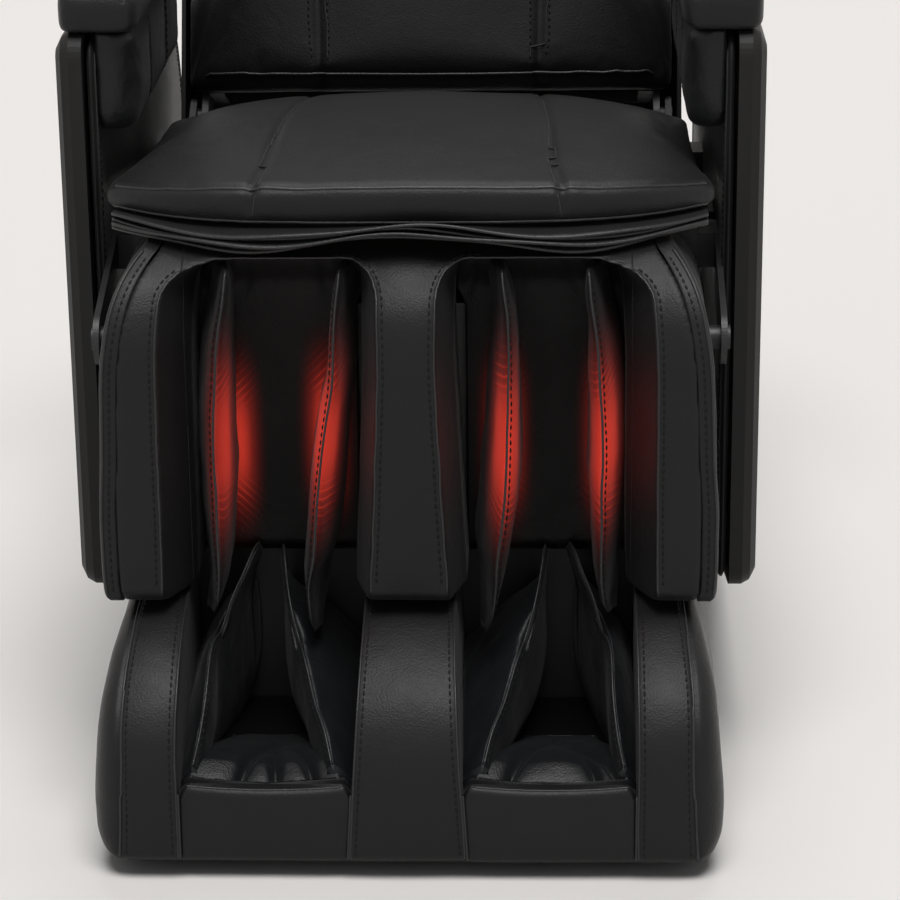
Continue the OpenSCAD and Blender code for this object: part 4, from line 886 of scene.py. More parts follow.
def make_calf_front():
    block = swell(calf_block(), calf_crown)
    cut_left, cut_right = (-SPLIT_X, 0, 0), (SPLIT_X, 0, 0)
    left = part_of(block, "calf_bolster_left_padding", [(cut_left, (1, 0, 0))])
    right = part_of(block, "calf_bolster_right_padding", [(cut_right, (-1, 0, 0))])
    middle = part_of(block, "calf_center_padding", [(cut_right, (1, 0, 0)), (cut_left, (-1, 0, 0))])
    surface = surface_of(block)
    bpy.data.objects.remove(block)
    trim = {"left": Form(), "right": Form(), "middle": Form()}
    for side in (-1, 1):
        edge = on_front(well_outline(0, 0.6)) * (side, 1, 1)
        edge = edge[edge[:, 2] > CALF_Z + 1]
        bead = laid_on(surface, evenly(edge, 260), -0.1)
        outer = "left" if side < 0 else "right"
        first_in = int(np.argmax(np.abs(bead[:, 0]) <= SPLIT_X))
        trim[outer].tube(bead[:first_in + 1], 1.05)
        trim["middle"].tube(bead[first_in:], 1.05)
        row = on_front(well_outline(0, 5.2)) * (side, 1, 1)
        row = evenly(row[row[:, 2] > CALF_Z + 8], 400)
        split = int(np.argmax(np.abs(row[:, 0]) <= SPLIT_X + 3))
        trim[outer].stitches(laid_on(surface, row[:split], 0.1), 1)
        inner = row[split:]
        inner = inner[np.abs(inner[:, 0]) < 60]
        trim["middle"].stitches(laid_on(surface, inner, 0.1), 1)
    for piece, key, node in ((left, "left", "calf_bolster_left"), (right, "right", "calf_bolster_right"),
                             (middle, "middle", "calf_center_cushion")):
        piece.data.materials.clear()
        piece.data.materials.append(leather)
        finish_piece(joined(piece.name, [piece, trim[key].make("trim", piping_painted_highlight, thread)]), "leg", node, fill=0.8)


def make_calf_side_pads():
    form = Form()
    s = np.concatenate([np.linspace(0, 12, 8), np.linspace(20, 195, 30),
                        PIVOT_Z - CALF_Z + ROUND_R * np.radians(np.linspace(0, 84, 44))])
    zs = up_front(s)[:, 1]
    half, front = calf_half(zs), calf_front(zs)
    rear = calf_rear(zs, CALF_BACK)
    for side in (-1, 1):
        rings = []
        for z, h, y0, y1 in zip(zs, half, front, rear):
            e = rounding(z - CALF_Z, 7)
            x0, x1, y0, y1 = min(SEAM_X, h - 12.4), h - e * 0.7, y0 + e, y1 - e
            outline = rounded_outline([[x0, y0], [x0 + 4, y0], [x0 + 8, y0 + 0.1], [x1, y0 + 0.4], [x1, y0 + 30],
                                       [x1, y1], [x0, y1]], [0.9, 1, 1, 5, 3, 5, 1.5])
            rings.append(level_ring(outline, z, side))
        form.rings(rings)
    pads = form.make("calf_side_padding", leather)
    swell(pads, lambda p: (calf_crown(p)
                           + 1.3 * bump(p[:, 2] - 330, 80) * bump(p[:, 1] - 190, 45) * (np.abs(p[:, 0]) > 246)))
    trim = Trim(pads)
    for side in (-1, 1):
        trim.bead(np.stack([side * (half - 2.2), front + 0.9, zs], axis=1)[4:-6], 1.3, 150)
        trim.row(np.stack([side * (half - 7.6), front - 3, zs], axis=1)[6:-8], 300)
        trim.row(np.stack([side * (half + 3), rear - 8, zs], axis=1)[6:-14], 200)
    finish_piece(trim.sewn_to(pads), "leg", "calf_side_pads", fill=0.7)


def lining_y(z):
    return BACK_PAD_Y - 52 * np.clip((np.asarray(z, float) - ROLL_Z + LINING_H) / LINING_H, 0, 1) ** 2


def make_calf_back_pads():
    """The pads at the back of the wells, darkened below by painted shade, gathered where they come forward under the
    arch.
    """
    form = Form()
    zs = np.concatenate([np.linspace(208, 430, 40), np.linspace(433, 480.6, 34)])
    for side in (-1, 1):
        rings = []
        for z in zs:
            outer = float(table(WELL_WALLS, min(300, z - CALF_Z))[0, 0]) - 21
            if z > 440:
                outer -= 26 * ((z - 440) / 41) ** 2
            e = rounding(z - 208, 5)
            front = []
            inner = 45 - 7 * min(1, max(0, (z - 425) / 15))
            for x in np.linspace(inner, outer, 72):
                t = float(np.clip((z - 428) / 52, 0, 1))
                fan = (x - 92) / (1 - 0.28 * t)
                pleat = 4.4 * t**1.2 * (abs(math.sin(fan * 0.135)) - 0.6) + 1.5 * t * math.sin(fan * 0.31 + 1)
                front.append([side * x, float(lining_y(z)) + e - pleat, z])
            rear = float(calf_rear(z, BOARD_Y))
            rings.append(front + [[side * outer, rear, z], [side * inner, rear, z]])
        form.rings(rings)
    pads = form.make("calf_back_padding", leather_lining)
    swell(pads, lambda p: noise(p, (30, 30, 60), 21) * 0.8)
    finish_piece(pads, "leg", "calf_back_pads", fill=0.5)


def leaf_outline(x, y, half, root, lean, count=44):
    back = max(root, y + 4)
    d = back - y
    side = [(x, y), (x + half * 0.32, y + d * 0.1), (x + half * 0.68 + lean * 0.3, y + d * 0.42),
            (x + half + lean, y + d * 0.85), (x + half * 0.9 + lean, back)]
    other = [(x - half * 0.9 + lean, back), (x - half + lean, y + d * 0.85),
             (x - half * 0.68 + lean * 0.3, y + d * 0.42), (x - half * 0.32, y + d * 0.1), (x, y)]
    a = spline([(*q, 0) for q in side], count // 2)
    b = spline([(*q, 0) for q in other], count // 2)
    return np.vstack([a, b[:-1]])[:, :2]


def make_calf_air_pads(name, node, left_rows, right_rows, lean, seed):
    """Leaf-shaped air pads whose two faces meet in a piped ridge, with zones of painted red glow on them."""
    form, ridges = Form(), []
    heights = np.concatenate([np.linspace(left_rows[0][0], 250, 90), np.linspace(252, 269, 10)])
    sides = ((-1, table(left_rows, heights)), (1, table(right_rows, heights)))
    for side, values in sides:
        rings, ridge = [], []
        for h, (x, depth, half) in zip(heights, values):
            y, z = CALF_FRONT + depth, CALF_Z + h
            root = min(float(lining_y(z)), y + 6 + 10 * half)
            slack = 0.8 * float(noise([[side * 50, 0, h]], (1000, 1000, 30), seed)[0])
            rings.append(level_ring(leaf_outline(x + slack, y, half, root, lean), z, side))
            ridge.append([side * (x + slack), y - 0.5, z])
        form.rings(rings)
        ridges.append(ridge)
    pads = form.make(name, leather_painted_glow)
    swell(pads, lambda p: noise(p, (18, 24, 30), seed) * 0.7 + noise(p, (9, 12, 8), seed + 1) * 0.25)
    trim = Trim(pads)
    for ridge in ridges:
        trim.tube(evenly(ridge, 140), 0.95)
    for side, values in sides:
        row = [[side * (x + 4.2), CALF_FRONT + depth + 3, CALF_Z + h] for h, (x, depth, _) in zip(heights, values)]
        trim.row(row[3:-6], 200)
    finish_piece(trim.sewn_to(pads), "leg", node, slot="air_pad", fill=0.4)


def make_heating_films():
    """Thin films inside the air pads, behind the zones that glow."""
    form = Form()
    heights = np.linspace(73, 173, 26)
    for side, rows, lean in ((-1, CALF_PAD_OUTER, 6), (1, CALF_PAD_OUTER, 6), (-1, CALF_PAD_INNER, -4),
                             (1, CALF_PAD_INNER_RIGHT, -4)):
        rings = []
        for h, (x, depth, half) in zip(heights, table(rows, heights)):
            y, z = CALF_FRONT + depth, CALF_Z + h
            d = max(min(float(lining_y(z)), y + 6 + 10 * half) - y, 4)
            share = np.linspace(0.3, 0.72, 9)
            middle = x + lean * np.interp(share, [0.1, 0.42, 0.85], [0, 0.3, 1])
            near, far = (np.column_stack([side * (middle + t), y + d * share, np.full(9, z)]) for t in (-0.35, 0.35))
            rings.append(np.vstack([near, far[::-1]]))
        form.rings(rings)
    film = make_plastic("heating_film", (0.35, 0.02, 0.015), rough=(0.4, 0.5))
    finish_piece(form.make("heating_films", film), "leg", "calf_heaters", slot="heater")


make_calf_front()
make_calf_side_pads()
make_heating_films()
make_calf_back_pads()
make_calf_air_pads("calf_air_padding_outer", "calf_air_pads_outer", CALF_PAD_OUTER, CALF_PAD_OUTER, 6, 31)
make_calf_air_pads("calf_air_padding_inner", "calf_air_pads_inner", CALF_PAD_INNER, CALF_PAD_INNER_RIGHT, -4, 41)


# ---------------------------------------------------------------- foot section
FOOT_CURVE = (170.0, 111.0)             # depth and height of the instep's curve


def foot_front(h):
    k = np.clip((np.asarray(h, float) - (FOOT_H - FOOT_CURVE[1])) / FOOT_CURVE[1], 0, 1)
    return FOOT_CURVE[0] * (1 - np.sqrt(np.maximum(0, 1 - k * k)))


def foot_half(h):
    rows = [[0, -12], [0.04, -5], [0.13, -0.5], [0.25, 0], [0.45, -2.5], [0.65, -5.5], [0.77, -9.5], [0.88, -15.5],
            [1, -25]]
    return HALF_FOOT + table(rows, np.asarray(h, float) / FOOT_H)[:, 0]


def foot_center_half(h):
    return FOOT_WELL_IN - 11 * np.clip(np.asarray(h, float) / FOOT_H, 0, 1)


def foot_heights():
    """Stations up a foot bolster, close together where its front turns over."""
    turn = np.linspace(0, math.pi / 2 * 0.985, 44)
    return np.concatenate([np.linspace(0, 8, 8), np.linspace(11, FOOT_H - FOOT_CURVE[1] - 2, 18),
                           FOOT_H - FOOT_CURVE[1] + FOOT_CURVE[1] * np.sin(turn)])


FOOT_PANEL_X = [[5, 233], [75, 230], [133, 229], [176, 224], [185, 222]]     # [height, x] of the panel's outer seam


def make_foot_bolsters():
    heights = foot_heights()
    half, front, edge = foot_half(heights), foot_front(heights), table(FOOT_PANEL_X, heights)[:, 0]
    for side, name in ((-1, "left"), (1, "right")):
        form = Form()
        rings = []
        for h, w, y0, xp in zip(heights, half, front, edge):
            e = rounding(h, 8)
            y0 = y0 + e
            panel = [(x, y0 + 1.6 * (1 - ((x - 207) / 22.5) ** 2 < 0))
                     for x in np.linspace(FOOT_WELL_OUT + 3, xp - 1, 12)]
            bulge = [(xp + (w - xp) * math.sin(t), y0 + 1.2 + 30 * (1 - math.cos(t)))
                     for t in np.linspace(0, math.pi / 2, 14)]
            wall = FOOT_WELL_OUT + e * 0.4
            rear = [(w - 2, FOOT_INSIDE - 3), (w - 6, FOOT_INSIDE), (FOOT_WELL_OUT + 4, FOOT_INSIDE),
                    (wall, FOOT_INSIDE - 4), (wall, y0 + 60), (wall, y0 + 3), (FOOT_WELL_OUT + 0.9, y0 + 0.9)]
            side_wall = [(w, y0 + 31 + (FOOT_INSIDE - 6 - y0 - 31) * k) for k in (0.25, 0.5, 0.75, 1)]
            outline = np.minimum(panel + bulge + side_wall + rear, (np.inf, FOOT_INSIDE))
            rings.append(level_ring(outline, FOOT_Z + h, side))
        form.rings(rings)
        piece = form.make(f"foot_bolster_{name}_padding", leather)
        finer(piece)

        def crown(p):
            x, z = np.abs(p[:, 0]), p[:, 2] - FOOT_Z
            frontal = np.clip((foot_front(z) + 12 - p[:, 1]) / 12, 0, 1) * np.clip(z / 24, 0, 1)
            seam = table(FOOT_PANEL_X, z)[:, 0]
            middle = (seam + FOOT_WELL_OUT) / 2
            groove = 1.1 * bump(x - seam - 1.5, 2.2) * frontal
            return (frontal * 1.7 * np.clip(1 - ((x - middle) / 21) ** 2, 0, 1) - groove
                    + noise(p, (46, 46, 26), 51) * 0.5 + noise(p, (19, 19, 10), 52) * 0.2)
        swell(piece, crown)
        trim = Trim(piece)
        run = heights[heights < FOOT_H * 0.997]
        seam = table(FOOT_PANEL_X, run)[:, 0]
        for x, before, radius in ((seam + 1.4, 1, 1.1), (FOOT_WELL_OUT + 1.0, 0.5, 1.0)):
            trim.bead(line_at(len(run), side * x, foot_front(run) - before, FOOT_Z + run)[3:], radius, 160)
        for x in (seam - 3.8, FOOT_WELL_OUT + 6.0):
            trim.row(line_at(len(run), side * x, foot_front(run) - 1, FOOT_Z + run)[6:], 300)
        finish_piece(trim.sewn_to(piece), "foot", f"foot_bolster_{name}", fill=0.85)


def make_foot_center():
    heights = foot_heights()
    form, rings = Form(), []
    for h, w, y0 in zip(heights, foot_center_half(heights), foot_front(heights)):
        e = rounding(h, 8)
        w, y0 = w - e * 0.4, y0 + e
        outline = [(x, y0 + 0.02 * (x / w) ** 8) for x in np.linspace(-w + 2, w - 2, 26)]
        outline += [(w - 0.5, y0 + 0.8), (w, y0 + 3), (w, y0 + 12), (w, (y0 + FOOT_INSIDE) / 2), (w, FOOT_INSIDE - 4),
                    (w - 4, FOOT_INSIDE), (-w + 4, FOOT_INSIDE), (-w, FOOT_INSIDE - 4), (-w, (y0 + FOOT_INSIDE) / 2),
                    (-w, y0 + 12), (-w, y0 + 3), (-w + 0.5, y0 + 0.8)]
        rings.append(level_ring(np.minimum(outline, (np.inf, FOOT_INSIDE)), FOOT_Z + h))
    form.rings(rings)
    piece = form.make("foot_center_padding", leather)

    def crown(p):
        x, z = p[:, 0], p[:, 2] - FOOT_Z
        frontal = np.clip((foot_front(z) + 12 - p[:, 1]) / 12, 0, 1) * np.clip(z / 24, 0, 1)
        return (frontal * 2.0 * np.clip(1 - (x / 40) ** 2, 0, 1) + noise(p, (50, 50, 24), 61) * 0.5
                + noise(p, (20, 20, 10), 62) * 0.2)
    swell(piece, crown)
    room = Form()       # the drive's room under the bolster
    room.rings([[(x, y, z) for x, z in ((-70, 5), (70, 5), (70, 54), (-70, 54))] for y in (55, 180)])
    cut_away(piece, room.make("room"))
    trim = Trim(piece)
    run = heights[heights < FOOT_H * 0.997]
    for side in (-1, 1):
        edge, row = (line_at(len(run), side * (foot_center_half(run) - inset), foot_front(run) - 1, FOOT_Z + run)
                     for inset in (0.5, 5.2))
        trim.bead(edge[3:], 1.0, 160)
        trim.row(row[6:], 300)
    finish_piece(trim.sewn_to(piece), "foot", "foot_bolster_center", fill=0.85)


# the toe pads' upper edge: its height at its ends, above the bolsters' feet, and how far it sags between them
TOE_TOP, TOE_SAG = 69.0, 4.6


def toe_top(u):
    """Height of a toe pad's upper edge at u from -1 to 1 across it: it sags, and is cut off at its corners."""
    return TOE_TOP - TOE_SAG * (1 - u * u) - 10 * max(0.0, min(1.0, (abs(u) - 0.9) / 0.1)) ** 1.4


def make_toe_pads():
    form = Form()
    for side in (-1, 1):
        rings = []
        for h in np.concatenate([np.linspace(0, 8, 8), np.linspace(11, 56, 16), np.linspace(58, TOE_TOP - 0.02, 14)]):
            inner, outer = float(foot_center_half(h)) + 0.3, FOOT_WELL_OUT - 0.3
            e0 = rounding(h, 6)
            front, back = [], []
            for u in np.linspace(-1, 1, 60):
                x = (inner + outer) / 2 + u * (outer - inner) / 2
                top = toe_top(u)
                z = h * top / TOE_TOP
                e1 = rounding(top - z, 7)
                ends = 1.6 * abs(u) ** 14
                front.append((side * x, 1.2 + e0 + e1 + ends, FOOT_Z + z))
                back.append((side * x, 23.6 - e1 * 0.7 - 0.5 * ends, FOOT_Z + z))
            rings.append(front + back[::-1])
        form.rings(rings)
    pads = form.make("toe_padding", leather)

    def crown(p):
        x, z = np.abs(p[:, 0]), p[:, 2] - FOOT_Z
        frontal = np.clip((8 - p[:, 1]) / 6, 0, 1)
        return (frontal * 1.2 * np.clip(1 - ((x - 116) / 66) ** 2, 0, 1) * np.clip(z / 20, 0, 1)
                + noise(p, (55, 30, 16), 71) * 0.45 + noise(p, (16, 16, 9), 72) * 0.15)
    swell(pads, crown)
    trim = Trim(pads)
    u = np.linspace(-0.93, 0.93, 120)
    for side in (-1, 1):
        edge = line_at(120, side * (116.3 + u * 67.5), 4.6, FOOT_Z + TOE_TOP - TOE_SAG * (1 - u * u) - 1.6)
        trim.bead(edge, 0.9, lift=0.05)
        for x in (FOOT_WELL_IN - 0.6, FOOT_WELL_OUT - 1.2):
            zs = np.linspace(FOOT_Z + 3, FOOT_Z + TOE_TOP - 8, 40)
            lean = -4.2 * (zs - FOOT_Z) / 70 if x < 100 else 0
            trim.tube(line_at(40, side * (x + lean + 1.2), 0.9, zs), 1.1)
    finish_piece(trim.sewn_to(pads), "foot", "toe_pads", fill=0.8)


def foot_wall(z, side):
    if side > 0:
        return FOOT_WELL_OUT - 0.3
    return float(foot_center_half(z - FOOT_Z)) + 0.3


def make_foot_flaps(name, node, rows_at, tips, side, seed):
    """Air pads on a foot well's walls, which run up to a thin piped ridge."""
    form, ridges = Form(), []
    ys = np.concatenate([np.linspace(23, 60, 30), np.linspace(62, 202, 90), [203.2, 204.2, 205.4, 207, 212, 222, 232]])
    values = table(rows_at, ys)
    tip_values = table([[90, rows_at[3][1] - 1, rows_at[3][2]]] + tips, ys)
    for s in (-1, 1):
        rings, ridge = [], []
        for y, (x, h), (xt, ht) in zip(ys, values, tip_values):
            thin = min(1, max(0, (y - 92) / 52)) * min(1, max(0, (206 - y) / 3))
            thin = thin * thin * (3 - 2 * thin)
            body, mid = SOLE_TOP + h, SOLE_TOP + h / 2
            xr, top = x + (xt - x) * thin, body + (SOLE_TOP + ht - body) * thin
            d = foot_wall(mid, side) - x
            shoulder = SOLE_TOP + h * 0.75 + (body - 6 - SOLE_TOP - h * 0.75) * thin
            face = spline([(xr, top, 0), (xr - side * 2.4 * (0.6 + thin * 0.4), top - 3 - 5 * thin, 0),
                           (x - side * 3.6, shoulder, 0), (x - side * 2.4, SOLE_TOP + h * 0.35, 0),
                           (x + d * 0.2, SOLE_TOP + 0.3, 0)], 26)[:, :2]
            back = spline([(foot_wall(mid, side), mid, 0), (x + d * 0.5, SOLE_TOP + h * 0.82, 0),
                           (xr + side * (1.5 + 1.6 * thin), max(body - 1.5, body + (top - body) * 0.3), 0),
                           (xr + side * 1.6, top - 1.5 - 4 * thin, 0), (xr, top, 0)], 22)[:, :2]
            outline = np.vstack([face, [(foot_wall(SOLE_TOP, side), SOLE_TOP + 0.3)], back[:-1]])
            rings.append(across_y(outline * (s, 1), y))
            ridge.append((s * xr, y, top))
        form.rings(rings)
        ridges.append((s, np.array(ridge)[ys < 203]))
    flaps = form.make(name, leather_flap)
    swell(flaps, lambda p: noise(p, (16, 26, 22), seed) * 0.8 + noise(p, (8, 14, 10), seed + 1) * 0.3)
    trim = Trim(flaps)
    for _, ridge in ridges:
        trim.tube(evenly(ridge, 160) - (0, 0.3, 0), 0.95)
    for s, ridge in ridges:
        trim.row(evenly(ridge, 200)[6:] + (-s * side, 0, -4.6), radius=0.55)
    finish_piece(trim.sewn_to(flaps), "foot", node, slot="air_pad", fill=0.3)


# where the lining is pinched at the toe pads, by side: x of each pinch and how far it drifts as it runs back
PINCHES = {-1: ((76, 0.35), (107, 0.1), (137, -0.3)), 1: ((81, 0.4), (153, -0.25), (171, -0.55))}


# the gathered lining: [y, inner x, outer x, its height above the toe pads' edge]
LINING_ROWS = [[19, 49, 183, -0.5], [27, 51, 182, 3.5], [39, 56, 179, 8], [55, 64, 175, 9.5], [75, 71, 171, 6.5],
               [100, 79, 166, 0], [124, 86, 160, -7], [150, 92, 154, -15.5]]


def make_sole_covers():
    """The sole covers, near black as painted shade in the wells, and the lining that is gathered up to the toe pads'
    edge.
    """
    form = Form()
    for s in (-1, 1):
        rings = []
        for y in np.concatenate([np.linspace(24, 30, 5), np.linspace(34, 231, 40), [233.5, 235]]):
            e = rounding(min(y - 24, 235 - y), 2.5)
            top = [(s * x, y, SOLE_TOP - e) for x in np.linspace(FOOT_WELL_IN + 1, FOOT_WELL_OUT - 1, 40)]
            rings.append(top + [(s * x, y, SOLE_TOP - 9.8 + e) for x in (FOOT_WELL_OUT - 1, FOOT_WELL_IN + 1)])
        form.rings(rings)
        rings = []
        ys = np.concatenate([np.linspace(19.5, 40, 22), np.linspace(42, 150, 54)])
        for y, (a, b, lift) in zip(ys, table(LINING_ROWS, ys)):
            top = []
            away = math.exp(-(y - 20) / 52)
            stops = [a] + [pinch + (y - 22) * drift for pinch, drift in PINCHES[s]] + [b]
            for u in np.linspace(0, 1, 110):
                x = a + (b - a) * u
                width = 2.8 + (y - 20) * 0.13
                fold = sum(bump(x - centre, width) * 8.5 + bump(x - centre, width * 3) * 3
                           for centre in stops[1:-1]) * away
                k = max(1, int(np.searchsorted(stops[:-1], x)))
                t = (x - stops[k - 1]) / (stops[k] - stops[k - 1])
                fold -= 4 * max(0, 4 * t * (1 - t)) ** 0.7 * min(1, (y - 19) / 18) * away
                edge = FOOT_Z + toe_top(2 * u - 1)
                side_fall = 9 * (1 - away) * abs(2 * u - 1) ** 3
                top.append((s * x, y, max(SOLE_TOP + 0.3, edge + lift - fold - side_fall)))
            rings.append(top + [(s * b, y, SOLE_TOP - 2), (s * a, y, SOLE_TOP - 2)])
        form.rings(rings, slot=1)
    covers = form.make("sole_padding", leather_sole_painted_shade, leather_flap)
    swell(covers, lambda p: noise(p, (14, 22, 14), 81) * 0.5)
    finish_piece(covers, "foot", "sole_covers", slot="air_pad", fill=0.4)


make_foot_bolsters()
make_foot_center()
make_toe_pads()
make_foot_flaps("foot_air_padding_outer", "foot_air_pads_outer", FOOT_PAD_OUTER, FOOT_TIP_OUTER, 1, 91)
make_foot_flaps("foot_air_padding_inner", "foot_air_pads_inner", FOOT_PAD_INNER, FOOT_TIP_INNER, -1, 95)
make_sole_covers()


# ---------------------------------------------------------------- stuffing by cloth simulation
SIM_FRAMES = 20


def puffed(piece, voxel, pressure, cap, pinned):
    """Fills the piece with air as sewn cloth, by at most cap millimetres.

    pinned(points) is 1 where a seam or a board holds the cloth and 0 where it is free.
    """
    remeshed(piece, voxel, smooth=2)
    before, _ = coordinates(piece)
    scene = bpy.context.scene
    pins = piece.vertex_groups.new(name="pins")
    for i, weight in enumerate(pinned(before)):
        if weight > 0.02:
            pins.add([i], min(1.0, float(weight)), "REPLACE")
    cloth = piece.modifiers.new("cloth", "CLOTH")
    settings = cloth.settings
    settings.quality = 4
    settings.use_pressure = True
    settings.uniform_pressure_force = pressure
    settings.effector_weights.gravity = 0
    settings.vertex_group_mass = "pins"
    settings.tension_stiffness, settings.compression_stiffness, settings.bending_stiffness = 12, 6, 0.4
    cloth.collision_settings.use_collision = False
    cloth.point_cache.frame_start, cloth.point_cache.frame_end = 1, SIM_FRAMES
    for step in range(1, SIM_FRAMES + 1):
        scene.frame_set(step)
    applied(piece)
    scene.frame_set(1)
    after, _ = coordinates(piece)
    move = after - before
    size = np.maximum(np.linalg.norm(move, axis=1), 1e-9)[:, None]
    free = 1 - np.clip(pinned(before), 0, 1)[:, None]
    set_coordinates(piece, before + move / size * cap * np.tanh(size / cap) * np.minimum(1, free * 3))
    piece.vertex_groups.clear()
    finer(piece)


# ---------------------------------------------------------------- seat
def board_top(y):
    return np.interp(y, [RAIL_Y0 + TUBE, BOARD_Y1], [SEAT_Z + PAN_T, RAIL_TOP + PAN_T])


def seat_bow(x):
    return SEAT_FRONT - 4 + 64 * (np.abs(x) / SEAT_HALF) ** 4


def seat_seam_x(y):
    return np.interp(y, [SEAT_FRONT, SEAT_FRONT + 63, SEAT_FRONT + SEAT_D], [125, 117, 104])


CUSHION_HALF = 250.0
# how far out the cushion's top reaches, past which it slopes down to its side: [y, x]
SEAT_TOP_HALF = [[146, 250], [215, 249], [240, 241], [290, 226], [340, 213], [400, 209], [622, 209]]
CREASE_Z = 540.5


def crease_z(x):
    return CREASE_Z - 13 * (np.abs(x) / SEAT_HALF) ** 3.2


def make_seat_cushion():
    form, rings = Form(), []
    for u in np.concatenate([[-1, -0.994, -0.975], np.linspace(-0.95, 0.95, 70), [0.975, 0.994, 1]]):
        x = CUSHION_HALF * u
        fade = min(1, max(0, 1 - abs(u)) * CUSHION_HALF / 6) ** 0.5
        yf = float(seat_bow(x))
        zb, zc = float(board_top(yf)) + 0.4, float(crease_z(x))
        points = []
        # up the front, over the crease, back along the top and down to the board; the third value is 1 on the top
        for t in np.linspace(0, 1, 9):
            points.append((yf + 4 - 4.5 * math.sin(math.pi * t), zb + 1.5 + (zc - 1.5 - zb) * t, 0))
        points.append((yf + 6, zc + 1.2, 0))
        for y in np.concatenate([yf + np.array([7, 10, 15, 22, 32, 46]), np.linspace(yf + 62, 608, 22), [618, 625]]):
            run = y - yf
            rise = 34 + 11 * math.sin(math.pi * min(1, (y - 150) / 472)) + 6 * min(1, (y - 150) / 300)
            board = float(board_top(y))
            top = board + rise - 18 * abs(u) ** 3
            start = 1 - math.exp(-(run - 4) / 9)
            end = math.sqrt(min(1, max(0, (BOARD_Y1 - y) / 26)))
            z = (zc + 1.2) * (1 - start) + top * start if y < 580 else board + 4 + (top - board - 4) * end
            points.append((y, z, 1))
        points += [(628.5, float(board_top(628)) + 3, 0)]
        points += [(y, float(board_top(y)) + 0.4, 0) for y in (625, 500, 400, 315, 0.5 * (315 + yf), yf + 6)]
        ring = []
        for y, z, on_top in points:
            low = float(board_top(y)) + 0.4
            z = low + (z - low) * (0.6 + 0.4 * fade) if z > low + 1 else z
            raised = min(1, max(0, (z - low - 9) / 14)) * on_top
            base = CUSHION_HALF - 6 * min(1, max(0, (y - 215) / 20))
            half = base + (float(table(SEAT_TOP_HALF, y)[0, 0]) - base) * raised * raised * (3 - 2 * raised)
            ring.append((u * half, y, z))
        rings.append(ring)
    form.rings(rings)
    piece = form.make("seat_cushion_padding", leather)

    def pinned(p):
        x, y, z = p.T
        low = board_top(y)
        seam = bump(np.abs(x) - seat_seam_x(y), 3.6) * (z > low + 8)
        crease = bump(y - seat_bow(x) - 5, 4.5) * bump(z - crease_z(x) - 1, 4.5)
        return np.clip(np.maximum.reduce([(z < low + 3.5) * 1.0, seam * 1.2, crease * 1.3, (y > 600) * 1.0]), 0, 1)
    puffed(piece, 5.0, 4.0, 10, pinned)

    def details(p):
        x, y, z = p.T
        top = np.clip((z - board_top(y) - 8) / 10, 0, 1)
        seam = bump(np.abs(x) - seat_seam_x(y), 4.2)
        crease = bump(y - seat_bow(x) - 5, 5) * bump(z - crease_z(x) - 1, 5)
        ripples = noise(p, (26, 60, 30), 103) * (0.9 * bump(np.abs(x) - seat_seam_x(y), 32)
                                                 + 0.5 * bump(y - seat_bow(x) - 16, 26))
        return top * (-2.4 * seam - 2.0 * crease + ripples * 0.9 + noise(p, (70, 90, 60), 101)
                      + noise(p, (22, 22, 22), 102) * 0.2)
    swell(piece, details)
    trim = Trim(piece)
    xs, ys, zs = np.linspace(-244, 244, 300), np.linspace(SEAT_FRONT + 8, 598, 240), np.linspace(CREASE_Z - 4, 512, 12)
    trim.bead(line_at(300, xs, seat_bow(xs) + 4, crease_z(xs) + 1), 1.3)
    trim.bead(line_at(300, xs, seat_bow(xs) + 3, board_top(seat_bow(xs)) + 3), 1.3, lift=0.2)
    for side in (-1, 1):
        trim.bead(line_at(240, side * seat_seam_x(ys), ys, board_top(ys) + 45), 0.8, lift=0.0)
        trim.bead(line_at(12, side * 124.5, 146.0, zs), 0.7, lift=0.0)
    finish_piece(trim.sewn_to(piece), "chassis", "seat_cushion", fill=0.75)


def make_seat_flap():
    """The layered, wavy hems under the cushion's front edge."""
    form = Form()
    xs = np.linspace(-243, 243, 196)
    layers = ((27, 505.2, 0.4), (24, 502.6, 1.7), (29, 500.0, 2.9), (26, 497.4, 4.1))
    for layer, (reach, base, phase) in enumerate(layers):
        wave = 1.2 * np.sin(xs / 21 + phase) + 0.8 * np.sin(xs / 47 + 2 * phase)
        sag = 4.5 * bump(np.abs(xs) - 135, 58) - 5.5 * bump(xs, 60) + 1.0 * layer * bump(np.abs(xs) - 140, 90)
        front = seat_bow(xs) + 16 - reach + 0.8 * np.sin(xs / 33 + phase * 3)
        rings = []
        for x, y0, w, s in zip(xs, front, wave, sag):
            y1 = min(y0 + 34, float(seat_bow(x)) + 24)
            ring = [(x, y0 - 1.0, base + w - s)]
            for face, shares in ((1, np.linspace(0, 1, 8)), (-1, np.linspace(1, 0, 8))):
                for t in shares:
                    half = 1.0 if t > 0.1 else 1.35         # thicker along its sewn lip
                    ring.append((x, y0 + (y1 - y0) * t, base + (w - s) * (1 - t) ** 2 + face * half))
            rings.append(ring)
        form.rings(rings)
    finish_piece(form.make("seat_front_hems", piping_painted_highlight), "chassis", "seat_front_flap", fill=0.1)


# ---------------------------------------------------------------- side liners and arms
# the side shells' corners: [y, z, radius]
SHELL_CORNERS = [[SHELL_Y0, 160, 22], [SHELL_Y0, ARM_Z, 22], [HINGE_Y - 30, ARM_Z, 90],
                 [HINGE_Y + 125, ARM_Z - 90, 110], [HINGE_Y + 185, 320, 120], [HINGE_Y + 180, 100, 70],
                 [HINGE_Y + 60, 70, 70]]


